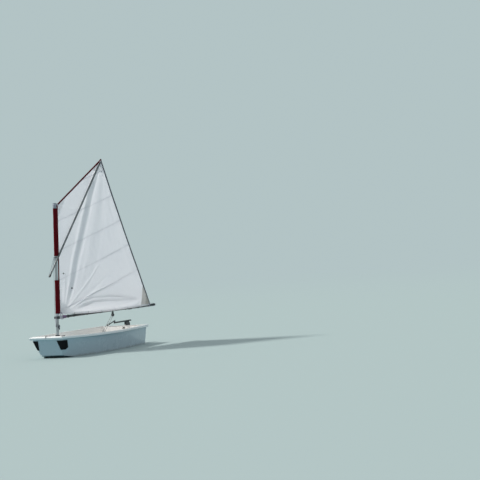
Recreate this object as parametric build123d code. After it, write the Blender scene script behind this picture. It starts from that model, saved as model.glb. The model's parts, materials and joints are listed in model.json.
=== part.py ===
from build123d import *
import os
from math import atan2, cos, hypot, radians, sin

# Children's pram sailing dinghy with a sprit rig, afloat with both of its boards down.
# All lengths are in millimetres. X points to the bow, Y to port and Z up.
# The origin is amidships on the centreline, at the level of the water.

# Hull shape, one row for each section from the stern to the bow
hull_length = 2300.0
# Columns: share of the length from amidships, forward rake of the section,
# half beam at the chine, half beam at the sheer, height of the chine, height of the sheer
HULL_SECTIONS = [
    (-0.50, -10.0, 381.0, 431.0, -20.0, 312.0),
    (-0.25, 0.0, 420.0, 504.0, -70.0, 311.0),
    (0.00, 0.0, 422.0, 523.0, -85.0, 312.0),
    (0.25, 15.0, 350.0, 451.0, -45.0, 320.0),
    (0.50, 120.0, 197.0, 272.0, 45.0, 333.0),
]
bottom_thickness = 12.0
side_thickness = 8.0
transom_thickness = 14.0
chine_lip = 6.0
seat_gap = 0.3
cavity_headroom = 60.0

# Rubbing strakes round the edge of the hull
strake_width = 26.0
strake_depth = 34.0
strake_cap = 5.0
strake_lip = 6.0
strake_round = 7.0
rail_width = 20.0

# Rubber pads at the two corners of the bow
pad_thickness = 6.0
pad_height = 146.0
pad_on_transom_above = 85.0
pad_on_transom_below = 22.0
pad_on_side = 87.0
pad_side_bevel = 45.0
pad_below_strake = 22.0

# Mast thwart, mast step and the eye for the painter
mast_behind_bow = 318.0
mast_x = hull_length / 2 - mast_behind_bow
mast_rake = 4.8
partner_height = 318.0
mast_thwart_length = 170.0
mast_thwart_depth = 70.0
mast_thwart_wall = 10.0
mast_running_gap = 0.5
partner_collar_width = 18.0
step_length = 130.0
step_width = 100.0
step_height = 48.0
step_floor = 12.0
step_corner = 14.0
step_skirt = 50.0
eye_forward_of_step = 45.0
eye_radius = 17.0
eye_hole_radius = 9.0
eye_thickness = 8.0
eye_stem = 14.0
eye_seat_gap = 0.5
eye_base_radius = 18.0
eye_base_height = 18.0

# Thwart amidships, a channel open at its underside
thwart_front = 55.0
thwart_length = 195.0
thwart_height = 158.0
thwart_depth = 62.0
thwart_wall = 8.0
thwart_corner = 14.0
thwart_blank_width = 1200.0

# Daggerboard case
case_slot_length = 300.0
case_slot_width = 19.0
case_wall = 10.0
case_end = 24.0
case_rim_above_thwart = 6.0

# Daggerboard
board_width = 285.0
board_length = 1060.0
board_thickness = 14.0
board_head_above_case = 96.0
board_corner = 60.0
board_edge_flat = 4.0
board_edge_taper = 32.0
board_stop_height = 34.0
board_stop_thickness = 14.0
board_grip_length = 110.0
board_grip_height = 28.0
board_stop_inset = 15.0
board_stop_round = 5.0
board_stop_gap = 0.3
board_head_corner = 20.0
board_full_edge = 160.0

# Buoyancy bags
bag_gap = 0.3
side_bag_radius = 112.0
side_bag_length = 860.0
side_bag_aft_gap = 40.0
side_bag_outboard = 22.0
side_bag_pressed = 6.0
bag_end_taper = 0.42
bow_bag_radius = 84.0
bow_bag_height = 172.0
bow_bag_length = 440.0

# Toe straps
toe_strap_width = 50.0
toe_strap_thickness = 3.0
toe_strap_apart = 190.0
toe_strap_height = 102.0

# Rudder hangings
hanging_offset = 46.0
hanging_heights = [72.0, 214.0]
gudgeon_plate_width = 64.0
gudgeon_plate_height = 30.0
gudgeon_plate_thickness = 3.0
gudgeon_arm_width = 20.0
gudgeon_arm_height = 12.0
gudgeon_boss_radius = 10.0
pin_radius = 4.0
pin_running_gap = 0.08
pin_length = 34.0
pin_seat_gap = 1.0
pintle_height = 20.0
pintle_wall = 3.0
pintle_length = 62.0

# Rudder blade, one row for each corner from the head down its front and up its back
# Columns: distance aft of the front of the stock, height, radius of the corner
RUDDER_CORNERS = [
    (0.0, 318.0, 8.0),
    (0.0, -10.0, 60.0),
    (-50.0, -160.0, 90.0),
    (-20.0, -470.0, 45.0),
    (150.0, -470.0, 45.0),
    (190.0, -120.0, 80.0),
    (118.0, 40.0, 60.0),
    (118.0, 318.0, 8.0),
]

# Rudder, tiller and tiller extension
blade_thickness = 14.0
blade_edge_bevel = 5.0
cheek_thickness = 9.0
stock_front = 12.0
stock_length = 118.0
stock_bottom = 20.0
stock_top = 362.0
stock_corner = 26.0
tiller_height = 385.0
tiller_length = 526.0
tiller_width = 24.0
tiller_depth = 24.0
tiller_tongue = 135.0
tiller_tongue_drop = 60.0
tiller_tongue_inset = 10.0
tiller_start = -170.0
tiller_round = 8.0
extension_radius = 9.0
extension_length = 500.0
extension_rise = 20.0
extension_yaw = 17.0
extension_dip = 4.7
extension_overhang = 15.0
extension_grip_length = 130.0
extension_grip_radius = 13.0
swivel_radius = 11.0
swivel_from_tip = 18.0
swivel_gap = 1.2
grip_bevel = 4.0

# Mast, with its foot in the step
mast_radius = 22.5
mast_wall = 1.8
mast_top = 2064.0
mast_foot_gap = 0.3
head_cap_height = 78.0
head_cap_wall = 5.5
head_cap_lid = 4.0
cap_bevel = 4.0
cloth_gap = 0.3

# Boom
boom_angle = 17.0
boom_rise = 5.4
boom_height = 293.0
boom_radius = 19.0
boom_wall = 1.6
boom_start = 52.0
boom_length = 2062.0
jaw_length = 118.0
jaw_width = 66.0
jaw_depth = 36.0
jaw_mouth = 40.0
jaw_corner = 12.0
boom_cap_length = 24.0
boom_cap_radius = 20.5
boom_cap_overlap = 18.0
sheet_point = 1140.0

# Sail
sail_thickness = 3.0
tack_height = 349.0
throat_height = 2062.0
clew_distance = 1966.0
clew_above_boom = 12.0
clew_to_leeward = 19.0
peak_distance = 966.0
peak_height = 2824.0
peak_twist = 16.0
# Columns: share of the way from the foot to the head, depth of the belly, hollow of the leech,
# droop of the belly below the level in degrees
SAIL_SECTIONS = [
    (0.00, 34.0, 0.0, 30.0),
    (0.25, 46.0, 12.0, 0.0),
    (0.50, 30.0, 16.0, 0.0),
    (0.75, 11.0, 12.0, 0.0),
    (1.00, 2.0, 0.0, 0.0),
]

# Luff sleeve round the mast, in two lengths with a window between them
sleeve_wall = 2.5
sleeve_tail = 61.0
# Columns: name, lower end, upper end
SLEEVES = [
    ("luff_sleeve_lower", 353.0, 870.0),
    ("luff_sleeve_upper", 1243.0, 1985.0),
]
window_strip_front = 36.0
window_strip_thickness = 6.0

# Sprit
sprit_radius = 13.5
sprit_heel_forward = 158.0
sprit_heel_height = 928.0
sprit_head_distance = 940.0
sprit_head_height = 2781.0
sprit_head_pin = 38.0
sprit_pin_radius = 6.0

# Plastic caps on the ends of the sprit
sprit_cap_wall = 2.0
sprit_cap_length = 36.0
sprit_cap_lid = 12.0
sprit_notch_width = 8.0
sprit_notch_depth = 8.0

# Cleats and eyes on the spars
horn_cleat_height = 143.0
horn_cleat_length = 76.0
horn_cleat_width = 13.0
horn_cleat_reach = 24.0
mast_eye_height = 160.0
mast_eye_radius = 10.0
mast_eye_hole = 5.0
mast_eye_width = 12.0
clam_cleat_length = 62.0
clam_cleat_width = 16.0
clam_cleat_height = 10.0
# Columns: distance of a clam cleat's middle from the mast, along the boom
CLAM_CLEATS = [(1520.0,)]
boom_band_place = 212.0
boom_band_length = 14.0
boom_band_wall = 3.5

# Sheave blocks for the mainsheet
block_radius = 24.0
block_width = 26.0
block_cheek = 4.0
block_neck = 20.0
block_eye_radius = 9.0
block_eye_hole = 5.0
block_pin_radius = 4.0
block_strap = 8.0
strop_wall = 4.0
strop_width = 14.0
floor_block_x = -190.0
floor_block_height = 46.0

parts = {}


def keep(name, shape):
    parts[name] = shape


def section_frame(row):
    """Return a section's plane, with its own x to port and its own y up the hull, and its height."""
    share, rake, chine_half, sheer_half, chine_z, sheer_z = row
    sheer_x = share * hull_length
    height = hypot(rake, sheer_z - chine_z)
    lean = atan2(rake, sheer_z - chine_z)
    origin = (sheer_x - rake, 0, chine_z)
    plane = Plane(origin=origin, x_dir=(0, 1, 0), z_dir=(cos(lean), 0, -sin(lean)))
    return plane, height


def side_at(row, height):
    """Return the outside half beam of a section at a height above its chine."""
    full = section_frame(row)[1]
    return row[2] + (row[3] - row[2]) * height / full


def section_face(row, points):
    """Return a flat face in a section's plane from its corner points."""
    plane = section_frame(row)[0]
    return plane * make_face(Polyline(*points, close=True))


def outer_section(row, out=0.0):
    """Return the outside of a section, grown by a distance all round."""
    top = section_frame(row)[1] + out
    low = row[2] + out
    high = side_at(row, top) + out
    return section_face(row, [(-low, -out), (low, -out), (high, top), (-high, top)])


def cavity_section(row, inset):
    top = section_frame(row)[1] + cavity_headroom
    low = side_at(row, bottom_thickness) - side_thickness - inset
    high = side_at(row, top) - side_thickness - inset
    floor = bottom_thickness + inset
    return section_face(row, [(-low, floor), (low, floor), (high, top), (-high, top)])


def strake_section(row, side):
    """Return the section of a rubbing strake before the hull is cut out of it."""
    plane, height = section_frame(row)
    foot = height - strake_depth
    top = height + strake_cap
    outer = row[3] + strake_width
    inner = row[3] - side_thickness - strake_lip
    outline = make_face(Polyline((inner, foot), (outer, foot), (outer, top), (inner, top), close=True))
    outline = fillet(outline.vertices().sort_by(Axis.X)[-2:], strake_round)
    if side < 0:
        outline = mirror(outline, about=Plane.YZ)
    return plane * outline


def cavity(inset=0.0):
    """Return the room inside the hull, carried up past the sheer."""
    return loft([cavity_section(row, inset) for row in HULL_SECTIONS])


def hull_block(out=0.0):
    """Return the hull's outside shape as one block, grown by a distance."""
    return loft([outer_section(row, out) for row in HULL_SECTIONS])


def below_the_sides():
    """Return the space under the line where the side panels meet the bottom panel."""
    top = bottom_thickness + chine_lip
    wide = HULL_SECTIONS[2][3] * 2
    return loft([section_face(row, [(-wide, -wide), (wide, -wide), (wide, top), (-wide, top)])
                 for row in HULL_SECTIONS])


def hull_panels():
    shell = hull_block() - cavity()
    low = below_the_sides()
    slot = Pos(slot_middle(), 0, 0) * Box(case_slot_length, case_slot_width, 400)
    keep("hull_bottom", (shell & low) - slot)
    walls = shell - low
    for side, name in ((1, "port"), (-1, "starboard")):
        half = Pos(0, side * 1000, 0) * Box(5000, 2000, 5000)
        keep("hull_side_" + name, walls & half)
        strake = loft([strake_section(row, side) for row in HULL_SECTIONS])
        keep("strake_" + name, strake - hull_block(seat_gap))


def transoms():
    inside = cavity() & hull_block()
    for row, name, inward in ((HULL_SECTIONS[-1], "bow_transom", -1), (HULL_SECTIONS[0], "stern_transom", 1)):
        plane, height = section_frame(row)
        slab = extrude(plane * Rectangle(2000, 2000), inward * transom_thickness)
        keep(name, inside & slab)


def end_rails():
    """Rails along the tops of both transoms, hooked over them like the strakes."""
    for row, name, outward in ((HULL_SECTIONS[-1], "bow_rail", 1), (HULL_SECTIONS[0], "stern_rail", -1)):
        plane, height = section_frame(row)
        top = height + strake_cap
        foot = height - strake_depth
        inner = -outward * (transom_thickness + strake_lip)
        outer = outward * rail_width
        half = row[3] + strake_width
        seat = height + seat_gap
        face = outward * seat_gap
        # The rail's outline in its own plane: x outward, y up the transom
        outline = Polyline(
            (face, foot), (outer, foot), (outer, top), (inner, top), (inner, seat), (face, seat), close=True
        )
        across = Plane(origin=plane.origin - plane.x_dir * half, x_dir=plane.z_dir, z_dir=-plane.x_dir)
        rail = extrude(across * make_face(outline), -2 * half)
        corners = rail.edges().filter_by(Axis.Y).sort_by(Axis.X)
        outer_edges = corners[-2:] if outward > 0 else corners[:2]
        rail = fillet(outer_edges, strake_round)
        joint = row[3] - side_thickness - strake_lip
        for side in (1, -1):
            lip = Pos(0, side * (joint + 500), 0) * Box(5000, 1000, 5000)
            behind = extrude(plane * Rectangle(3000, 3000), -outward * 400)
            rail = rail - (lip & behind)
        keep(name, rail)


def slot_middle():
    return thwart_front + case_end + case_slot_length / 2


def floor_height(x):
    """Return the height of the inside of the bottom on the centreline, between the nearest sections."""
    rows = HULL_SECTIONS
    places = [(row[0] * hull_length - row[1], row[4]) for row in rows]
    total = 0.0
    for i, (xi, zi) in enumerate(places):
        term = zi
        for j, (xj, zj) in enumerate(places):
            if j != i:
                term *= (x - xj) / (xi - xj)
        total += term
    return total + bottom_thickness


def mast_frame():
    """Return the mast's own frame: its origin on the partner, with Z up the mast."""
    return Location((mast_x, 0, partner_height)) * Rotation(0, -mast_rake, 0)


def boom_frame():
    """Return the rig's frame: X aft along the boom, Y to windward, Z up the mast."""
    return mast_frame() * Rotation(0, 0, 180 - boom_angle)


def mast_hole():
    return mast_frame() * Cylinder(mast_radius + mast_running_gap, 1400)


def foot_distance():
    """Return the distance down the mast from the partner to the bottom of its foot."""
    foot_x = mast_x + partner_height * sin(radians(mast_rake))
    return (partner_height - floor_height(foot_x) - step_floor) / cos(radians(mast_rake)) - mast_foot_gap


def mast_thwart():
    height = partner_height - mast_thwart_depth / 2
    top = Pos(mast_x, 0, height) * Box(mast_thwart_length, thwart_blank_width, mast_thwart_depth)
    hollow = Pos(mast_x, 0, height - mast_thwart_wall) * Box(
        mast_thwart_length - 2 * mast_thwart_wall, thwart_blank_width, mast_thwart_depth
    )
    beam = (top - hollow) & cavity()
    collar = Pos(mast_x, 0, height) * Cylinder(mast_radius + partner_collar_width, mast_thwart_depth)
    keep("mast_thwart", beam + collar - mast_hole())


def mast_step():
    foot_x = mast_x + partner_height * sin(radians(mast_rake))
    low = floor_height(foot_x)
    block = Pos(foot_x, 0, low + step_height / 2) * Box(step_length, step_width, step_height)
    block = fillet(block.edges().filter_by(Axis.Z), step_corner)
    skirt = Pos(foot_x, 0, low) * Box(step_length, step_width, step_skirt)
    skirt = fillet(skirt.edges().filter_by(Axis.Z), step_corner)
    socket_depth = foot_distance() + mast_foot_gap
    socket = mast_frame() * Pos(0, 0, -socket_depth / 2) * Cylinder(mast_radius + mast_running_gap, socket_depth)
    keep("mast_step", ((block + skirt) & cavity()) - socket)


def painter_eye():
    """An eye that stands on the front of the mast step, for the painter or a tow line."""
    foot_x = mast_x + partner_height * sin(radians(mast_rake))
    eye_x = foot_x + step_length / 2 + eye_forward_of_step
    low = floor_height(eye_x)
    ring_height = low + eye_stem + eye_radius
    ring = Pos(eye_x, 0, ring_height) * Rotation(90, 0, 0) * Cylinder(eye_radius, eye_thickness)
    stem = Pos(eye_x, 0, low + eye_stem / 2) * Box(eye_thickness, eye_thickness, eye_stem + eye_base_height)
    base = Pos(eye_x, 0, low) * Cylinder(eye_base_radius, eye_base_height)
    hole = Pos(eye_x, 0, ring_height) * Rotation(90, 0, 0) * Cylinder(eye_hole_radius, 60)
    keep("painter_eye", ((ring + stem + base) & cavity(eye_seat_gap)) - hole)
    print("painter eye at", eye_x, 0, ring_height)


def midship_thwart():
    middle = thwart_front - thwart_length / 2
    height = thwart_height - thwart_depth / 2
    outer = Pos(middle, 0, height) * Box(thwart_length, thwart_blank_width, thwart_depth)
    outer = fillet(outer.edges().filter_by(Axis.Y).sort_by(Axis.Z)[-2:], thwart_corner)
    inner = Pos(middle, 0, height - thwart_wall) * Box(
        thwart_length - 2 * thwart_wall, thwart_blank_width, thwart_depth
    )
    keep("midship_thwart", (outer - inner) & cavity())


def daggerboard_case():
    top = thwart_height + case_rim_above_thwart
    height = top + 200
    length = case_slot_length + 2 * case_end
    width = case_slot_width + 2 * case_wall
    outer = Pos(slot_middle(), 0, top - height / 2) * Box(length, width, height)
    slot = Pos(slot_middle(), 0, 0) * Box(case_slot_length, case_slot_width, 2000)
    keep("daggerboard_case", (outer & cavity()) - slot)


def daggerboard():
    case_top = thwart_height + case_rim_above_thwart
    top = case_top + board_head_above_case
    outline = Pos(slot_middle(), top - board_length / 2) * Rectangle(board_width, board_length)
    outline = fillet(outline.vertices().sort_by(Axis.Y)[:2], board_corner)
    outline = fillet(outline.vertices().sort_by(Axis.Y)[-2:], board_head_corner)
    face = Plane.XZ * outline
    board = extrude(face, board_thickness / 2, both=True)
    grip = Pos(slot_middle(), 0, top - board_grip_height * 1.1) * Box(
        board_grip_length, 3 * board_thickness, board_grip_height
    )
    grip = fillet(grip.edges().filter_by(Axis.Y), board_grip_height / 2.2)
    # The edges are planed to a taper below the case
    wedge_profile = Polyline(
        (0, board_edge_flat / 2),
        (0, board_thickness),
        (board_edge_taper, board_thickness),
        (board_edge_taper, board_thickness / 2),
        close=True,
    )
    wedge_length = board_length - board_head_above_case - board_full_edge - board_corner
    for end in (1, -1):
        for side in (1, -1):
            wedge = extrude(make_face(wedge_profile), wedge_length)
            if end > 0:
                wedge = mirror(wedge, about=Plane.YZ)
            if side < 0:
                wedge = mirror(wedge, about=Plane.XZ)
            start = top - board_length + board_corner
            board = board - Pos(slot_middle() + end * board_width / 2, 0, start) * wedge
    board = board - grip
    keep("daggerboard", board)
    stops = []
    for side in (1, -1):
        y = side * (board_thickness / 2 + board_stop_thickness / 2)
        strip = Pos(slot_middle(), y, case_top + board_stop_gap + board_stop_height / 2) * Box(
            board_width - 2 * board_stop_inset, board_stop_thickness, board_stop_height
        )
        edges = strip.edges().filter_by(Axis.X).sort_by(Axis.Y)
        strip = fillet(edges[-2:] if side > 0 else edges[:2], board_stop_round)
        stops.append(strip)
    keep("daggerboard_stops", Compound(children=stops))


def bag_body(radius, length):
    """Return a blown-up bag along Z that narrows to its two ends."""
    bag = Cylinder(radius, length)
    return chamfer(bag.edges().filter_by(GeomType.CIRCLE), radius * bag_end_taper)


def buoyancy_bags():
    room = cavity(bag_gap)
    for side, name in ((1, "port"), (-1, "starboard")):
        aft = -hull_length / 2 + transom_thickness + side_bag_aft_gap
        middle = aft + side_bag_length / 2
        y = side * (HULL_SECTIONS[1][2] - side_bag_radius + side_bag_outboard)
        z = floor_height(middle) + side_bag_radius - side_bag_pressed
        body = Rotation(0, 90, 0) * bag_body(side_bag_radius, side_bag_length)
        keep("buoyancy_bag_" + name, (Pos(middle, y, z) * body) & room)
    bow_x = mast_x + mast_thwart_length / 2 + bag_gap + bow_bag_radius
    body = Rotation(90, 0, 0) * bag_body(bow_bag_radius, bow_bag_length)
    keep("buoyancy_bag_bow", (Pos(bow_x, 0, bow_bag_height) * body) & room - transom_room())


def toe_straps():
    front = thwart_front - thwart_length
    back = transom_face(toe_strap_height) + transom_thickness + seat_gap
    straps = []
    for side in (1, -1):
        strap = Pos((front + back) / 2, side * toe_strap_apart / 2, toe_strap_height) * Box(
            front - back, toe_strap_width, toe_strap_thickness
        )
        straps.append(strap)
    keep("toe_straps", Compound(children=straps))


def transom_room():
    """Return the space that the bow transom takes, with the gap that soft parts keep from it."""
    plane = section_frame(HULL_SECTIONS[-1])[0]
    return extrude(plane * Rectangle(2000, 2000), -transom_thickness - bag_gap)


def bow_pads():
    """Rubber pads wrapped round the two corners of the bow, under the rail."""
    row = HULL_SECTIONS[-1]
    plane = section_frame(row)[0]
    lean = atan2(row[1], row[5] - row[4])
    top = row[5] - strake_depth - pad_below_strake
    foot = top - pad_height
    reach = extrude(plane * Rectangle(2000, 2000), -pad_on_side)
    wrap = (hull_block(pad_thickness) & reach) - hull_block(seat_gap)
    front = extrude(outer_section(row, pad_thickness), pad_thickness)
    front = front - extrude(outer_section(row, seat_gap), seat_gap)
    band = Pos(0, 0, top - pad_height / 2) * Box(4000, 4000, pad_height)
    # The bare middle of the transom is narrower at the top of the pads than at their foot
    above = side_at(row, (top - row[4]) / cos(lean)) - pad_on_transom_above
    below = side_at(row, (foot - row[4]) / cos(lean)) - pad_on_transom_below
    bare = Polyline((-above, top), (above, top), (below, foot), (-below, foot), close=True)
    middle = extrude(Plane.YZ * make_face(bare), 4000, both=True)
    # The lower aft corner of each pad is cut off at 45 degrees
    bow_at_foot = hull_length / 2 - row[1] * (row[5] - foot) / (row[5] - row[4])
    corner = bow_at_foot - pad_on_side / cos(lean) + pad_side_bevel
    bevel = Polyline((corner, foot), (corner - pad_height, top), (corner - pad_height, foot), close=True)
    cut = extrude(Plane.XZ * make_face(bevel), 2000, both=True)
    keep("bow_corner_pads", ((wrap & band) + (front & band)) - middle - cut)


def gudgeons():
    plane = section_frame(HULL_SECTIONS[0])[0]
    ahead = extrude(plane.offset(-seat_gap) * Rectangle(2000, 2000), 200)
    pieces = []
    axis_x = -hull_length / 2 - hanging_offset
    for z in hanging_heights:
        face_x = transom_face(z)
        plate = Pos(face_x - gudgeon_plate_thickness / 2, 0, z) * Box(
            gudgeon_plate_thickness, gudgeon_plate_width, gudgeon_plate_height
        )
        arm = Pos((face_x + axis_x) / 2, 0, z) * Box(face_x - axis_x, gudgeon_arm_width, gudgeon_arm_height)
        boss = Pos(axis_x, 0, z) * Cylinder(gudgeon_boss_radius, gudgeon_arm_height)
        hole = Pos(axis_x, 0, z) * Cylinder(pin_radius + pin_running_gap, 60)
        pieces.append(plate + arm + boss - hole - ahead)
    keep("gudgeons", Compound(children=pieces))


def transom_face(z):
    """Return the x of the stern transom's outer face at a height."""
    row = HULL_SECTIONS[0]
    return -hull_length / 2 - row[1] * (row[5] - z) / (row[5] - row[4])


def pintles():
    axis_x = -hull_length / 2 - hanging_offset
    inner = blade_thickness + 2 * cheek_thickness
    pieces = []
    for z in hanging_heights:
        seat = z + gudgeon_arm_height / 2 + pin_seat_gap
        pin = Pos(axis_x, 0, seat - pin_length / 2 + 4) * Cylinder(pin_radius, pin_length)
        head = Pos(axis_x, 0, seat + pintle_height / 2) * Cylinder(pin_radius + 3, pintle_height)
        length = pintle_length + stock_front
        body = Pos(axis_x - length / 2, 0, seat + pintle_height / 2) * Box(
            length, inner + 2 * pintle_wall, pintle_height
        )
        body = body + head + pin
        body = body - stock_solid(inner)
        pieces.append(body)
    keep("pintles", Compound(children=pieces))


def stock_outline():
    front = -hull_length / 2 - hanging_offset - stock_front
    back = front - stock_length
    outline = make_face(
        Polyline((front, stock_bottom), (front, stock_top), (back, stock_top), (back, stock_bottom), close=True)
    )
    return fillet(outline.vertices().sort_by(Axis.X)[:2], stock_corner)


def stock_solid(width):
    return extrude(Plane.XZ * stock_outline(), width / 2, both=True)


def rudder():
    front = -hull_length / 2 - hanging_offset - stock_front
    back = front - stock_length
    corners = [(front - aft, height) for aft, height, radius in RUDDER_CORNERS]
    radii = [radius for aft, height, radius in RUDDER_CORNERS]
    outline = make_face(FilletPolyline(*corners, radius=radii, close=True))
    blade = extrude(Plane.XZ * outline, blade_thickness / 2, both=True)
    keep("rudder_blade", chamfer(blade.faces().filter_by(Axis.Y).edges(), blade_edge_bevel))
    cheeks = []
    for side in (1, -1):
        cheek = extrude(Plane.XZ * stock_outline(), cheek_thickness / 2, both=True)
        cheeks.append(Pos(0, side * (blade_thickness + cheek_thickness) / 2, 0) * cheek)
    keep("rudder_cheeks", Compound(children=cheeks))
    tongue_back = back + tiller_tongue_inset
    tongue = Pos(tongue_back + tiller_tongue / 2, 0, tiller_height - tiller_tongue_drop / 2) * Box(
        tiller_tongue, blade_thickness, tiller_tongue_drop
    )
    arm_start = front + tiller_start
    arm = Pos(arm_start + tiller_length / 2, 0, tiller_height) * Box(tiller_length, tiller_width, tiller_depth)
    arm = fillet(arm.edges().filter_by(Axis.X), tiller_round)
    keep("tiller", arm + tongue)
    tip = arm_start + tiller_length
    return tip


def tiller_extension(tip):
    """The extension reaches forward from its swivel, out to port and a little down, as in the hand."""
    swivel_x = tip - swivel_from_tip
    deck = tiller_height + tiller_depth / 2
    axis_z = deck + extension_rise
    post_height = extension_rise - extension_radius - swivel_gap
    post = Pos(swivel_x, 0, deck + post_height / 2) * Cylinder(swivel_radius, post_height)
    keep("extension_swivel", post)
    line = Pos(swivel_x, 0, axis_z) * Rotation(0, 0, extension_yaw) * Rotation(0, extension_dip, 0)
    turn = Rotation(0, 90, 0)
    tube = Pos(extension_length / 2 - extension_overhang, 0, 0) * turn * Cylinder(
        extension_radius, extension_length
    )
    grip_middle = extension_length - extension_overhang - extension_grip_length / 2
    grip = turn * Cylinder(extension_grip_radius, extension_grip_length)
    grip = Pos(grip_middle, 0, 0) * chamfer(grip.edges().filter_by(GeomType.CIRCLE), grip_bevel)
    keep("tiller_extension", line * (tube - grip))
    keep("extension_grip", line * grip)
    print("extension swivel at", swivel_x, 0, axis_z)


def mast():
    down = foot_distance()
    length = mast_top + down
    frame = mast_frame()
    tube = Pos(0, 0, (mast_top - down) / 2) * Cylinder(mast_radius, length)
    bore = Pos(0, 0, (mast_top - down) / 2 + mast_wall) * Cylinder(mast_radius - mast_wall, length)
    keep("mast", frame * (tube - bore))
    cap_length = head_cap_height + head_cap_lid
    cap = Pos(0, 0, mast_top + head_cap_lid - cap_length / 2) * Cylinder(mast_radius + head_cap_wall, cap_length)
    cap = chamfer(cap.edges().filter_by(GeomType.CIRCLE).sort_by(Axis.Z)[-1], cap_bevel)
    inside = Pos(0, 0, mast_top - cap_length) * Cylinder(mast_radius, 2 * cap_length)
    keep("mast_head_cap", boom_frame() * (cap - inside))


def boom_line():
    return boom_frame() * Pos(0, 0, boom_height) * Rotation(0, -boom_rise, 0)


def boom():
    line = boom_line()
    length = boom_length - boom_start
    middle = boom_start + length / 2
    tube = Pos(middle, 0, 0) * Rotation(0, 90, 0) * (Cylinder(boom_radius, length) - Cylinder(
        boom_radius - boom_wall, length + 2
    ))
    keep("boom", line * tube)
    jaw = Pos(jaw_length / 2 - jaw_mouth, 0, 0) * Box(jaw_length, jaw_width, jaw_depth)
    jaw = fillet(jaw.edges().filter_by(Axis.Z), jaw_corner)
    socket = Pos(boom_start + 200, 0, 0) * Rotation(0, 90, 0) * Cylinder(boom_radius, 400)
    mouth = Pos(-jaw_mouth, 0, 0) * Box(2 * jaw_mouth, 2 * mast_radius + 1, 2 * jaw_depth)
    throat = Rotation(0, boom_rise, 0) * Cylinder(mast_radius + 0.5, 200)
    keep("boom_jaw", line * (jaw - socket - mouth - throat))
    cap = Pos(boom_length + boom_cap_length / 2 - boom_cap_overlap, 0, 0) * Rotation(0, 90, 0) * Cylinder(
        boom_cap_radius, boom_cap_length
    )
    cap = chamfer(cap.edges().filter_by(GeomType.CIRCLE).sort_by(Axis.X)[-1], cap_bevel)
    room = Pos(boom_length - 100, 0, 0) * Rotation(0, 90, 0) * Cylinder(boom_radius, 200)
    keep("boom_end_cap", line * (cap - room))


def clew_point():
    x = clew_distance * cos(radians(boom_rise))
    z = boom_height + clew_distance * sin(radians(boom_rise)) + clew_above_boom
    return Vector(x, -clew_to_leeward, z)


def sail_section(share, belly, hollow, droop):
    tack = Vector(sleeve_tail + cloth_gap, 0, tack_height)
    throat = Vector(sleeve_tail + cloth_gap, 0, throat_height)
    clew = clew_point()
    peak = Vector(peak_distance, -peak_twist, peak_height)
    luff = tack + (throat - tack) * share
    leech = clew + (peak - clew) * share
    chord = (leech - luff).normalized()
    leech = leech - chord * hollow
    leeward = Vector(0, -1, 0)
    out = (leeward - chord * chord.dot(leeward)).normalized()
    down = chord.cross(out)
    out = out * cos(radians(droop)) + down * sin(radians(droop))
    middle = (luff + leech) * 0.5 + out * belly
    back = out * sail_thickness
    lines = [
        ThreePointArc(luff, middle, leech),
        Line(leech, leech - back),
        ThreePointArc(leech - back, middle - back, luff - back),
        Line(luff - back, luff),
    ]
    return make_face(Curve() + lines)


def sail():
    body = loft([sail_section(*row) for row in SAIL_SECTIONS])
    keep("sail", boom_frame() * body)


def sleeve_outline():
    r = mast_radius + cloth_gap + sleeve_wall
    lean = radians(62)
    touch = (r * cos(lean), r * sin(lean))
    tail = sail_thickness
    lines = [
        ThreePointArc((touch[0], touch[1]), (-r, 0), (touch[0], -touch[1])),
        Line((touch[0], -touch[1]), (sleeve_tail, -tail)),
        Line((sleeve_tail, -tail), (sleeve_tail, tail)),
        Line((sleeve_tail, tail), (touch[0], touch[1])),
    ]
    return make_face(Curve() + lines) - Circle(mast_radius + cloth_gap)


def sleeves():
    frame = boom_frame()
    for name, low, high in SLEEVES:
        keep(name, frame * Pos(0, 0, low) * extrude(sleeve_outline(), high - low))
    strips = []
    for low, high in ((SLEEVES[0][2], SLEEVES[1][1]), (SLEEVES[1][2], throat_height)):
        strip = Pos((window_strip_front + sleeve_tail) / 2, 0, (low + high) / 2) * Box(
            sleeve_tail - window_strip_front, window_strip_thickness, high - low
        )
        strips.append(frame * strip)
    keep("luff_strip", Compound(children=strips))


def sprit_ends():
    side = mast_radius + sprit_radius + seat_gap
    heel = Vector(-sprit_heel_forward, -side, sprit_heel_height)
    head = Vector(sprit_head_distance, -side, sprit_head_height)
    return heel, head


def sprit():
    heel, head = sprit_ends()
    length = (head - heel).length
    along = Plane(origin=heel, z_dir=(head - heel).normalized())
    pole = extrude(along * Circle(sprit_radius), length - sprit_head_pin)
    tip = extrude(along * Circle(sprit_pin_radius), length)
    pole = pole + tip
    keep("sprit", boom_frame() * pole)
    print("sprit length", length)


def sprit_caps():
    heel, head = sprit_ends()
    length = (head - heel).length
    along = Location(Plane(origin=heel, z_dir=(head - heel).normalized()))
    pole_end = length - sprit_head_pin
    blank = Cylinder(sprit_radius + sprit_cap_wall, sprit_cap_length)
    blank = chamfer(blank.edges().filter_by(GeomType.CIRCLE).sort_by(Axis.Z)[-1], cap_bevel)
    cap_middle = sprit_cap_lid - sprit_cap_length / 2
    pole_room = Pos(0, 0, -sprit_cap_length) * Cylinder(sprit_radius, 2 * sprit_cap_length)
    blank = Pos(0, 0, cap_middle) * blank - pole_room
    notch = Pos(0, 0, sprit_cap_lid) * Box(sprit_notch_width, 4 * sprit_radius, 2 * sprit_notch_depth)
    heel_cap = along * Rotation(180, 0, 0) * (blank - notch)
    head_cap = along * Pos(0, 0, pole_end) * (blank - Cylinder(sprit_pin_radius, 4 * sprit_cap_lid))
    keep("sprit_caps", Compound(children=[boom_frame() * heel_cap, boom_frame() * head_cap]))


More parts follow.
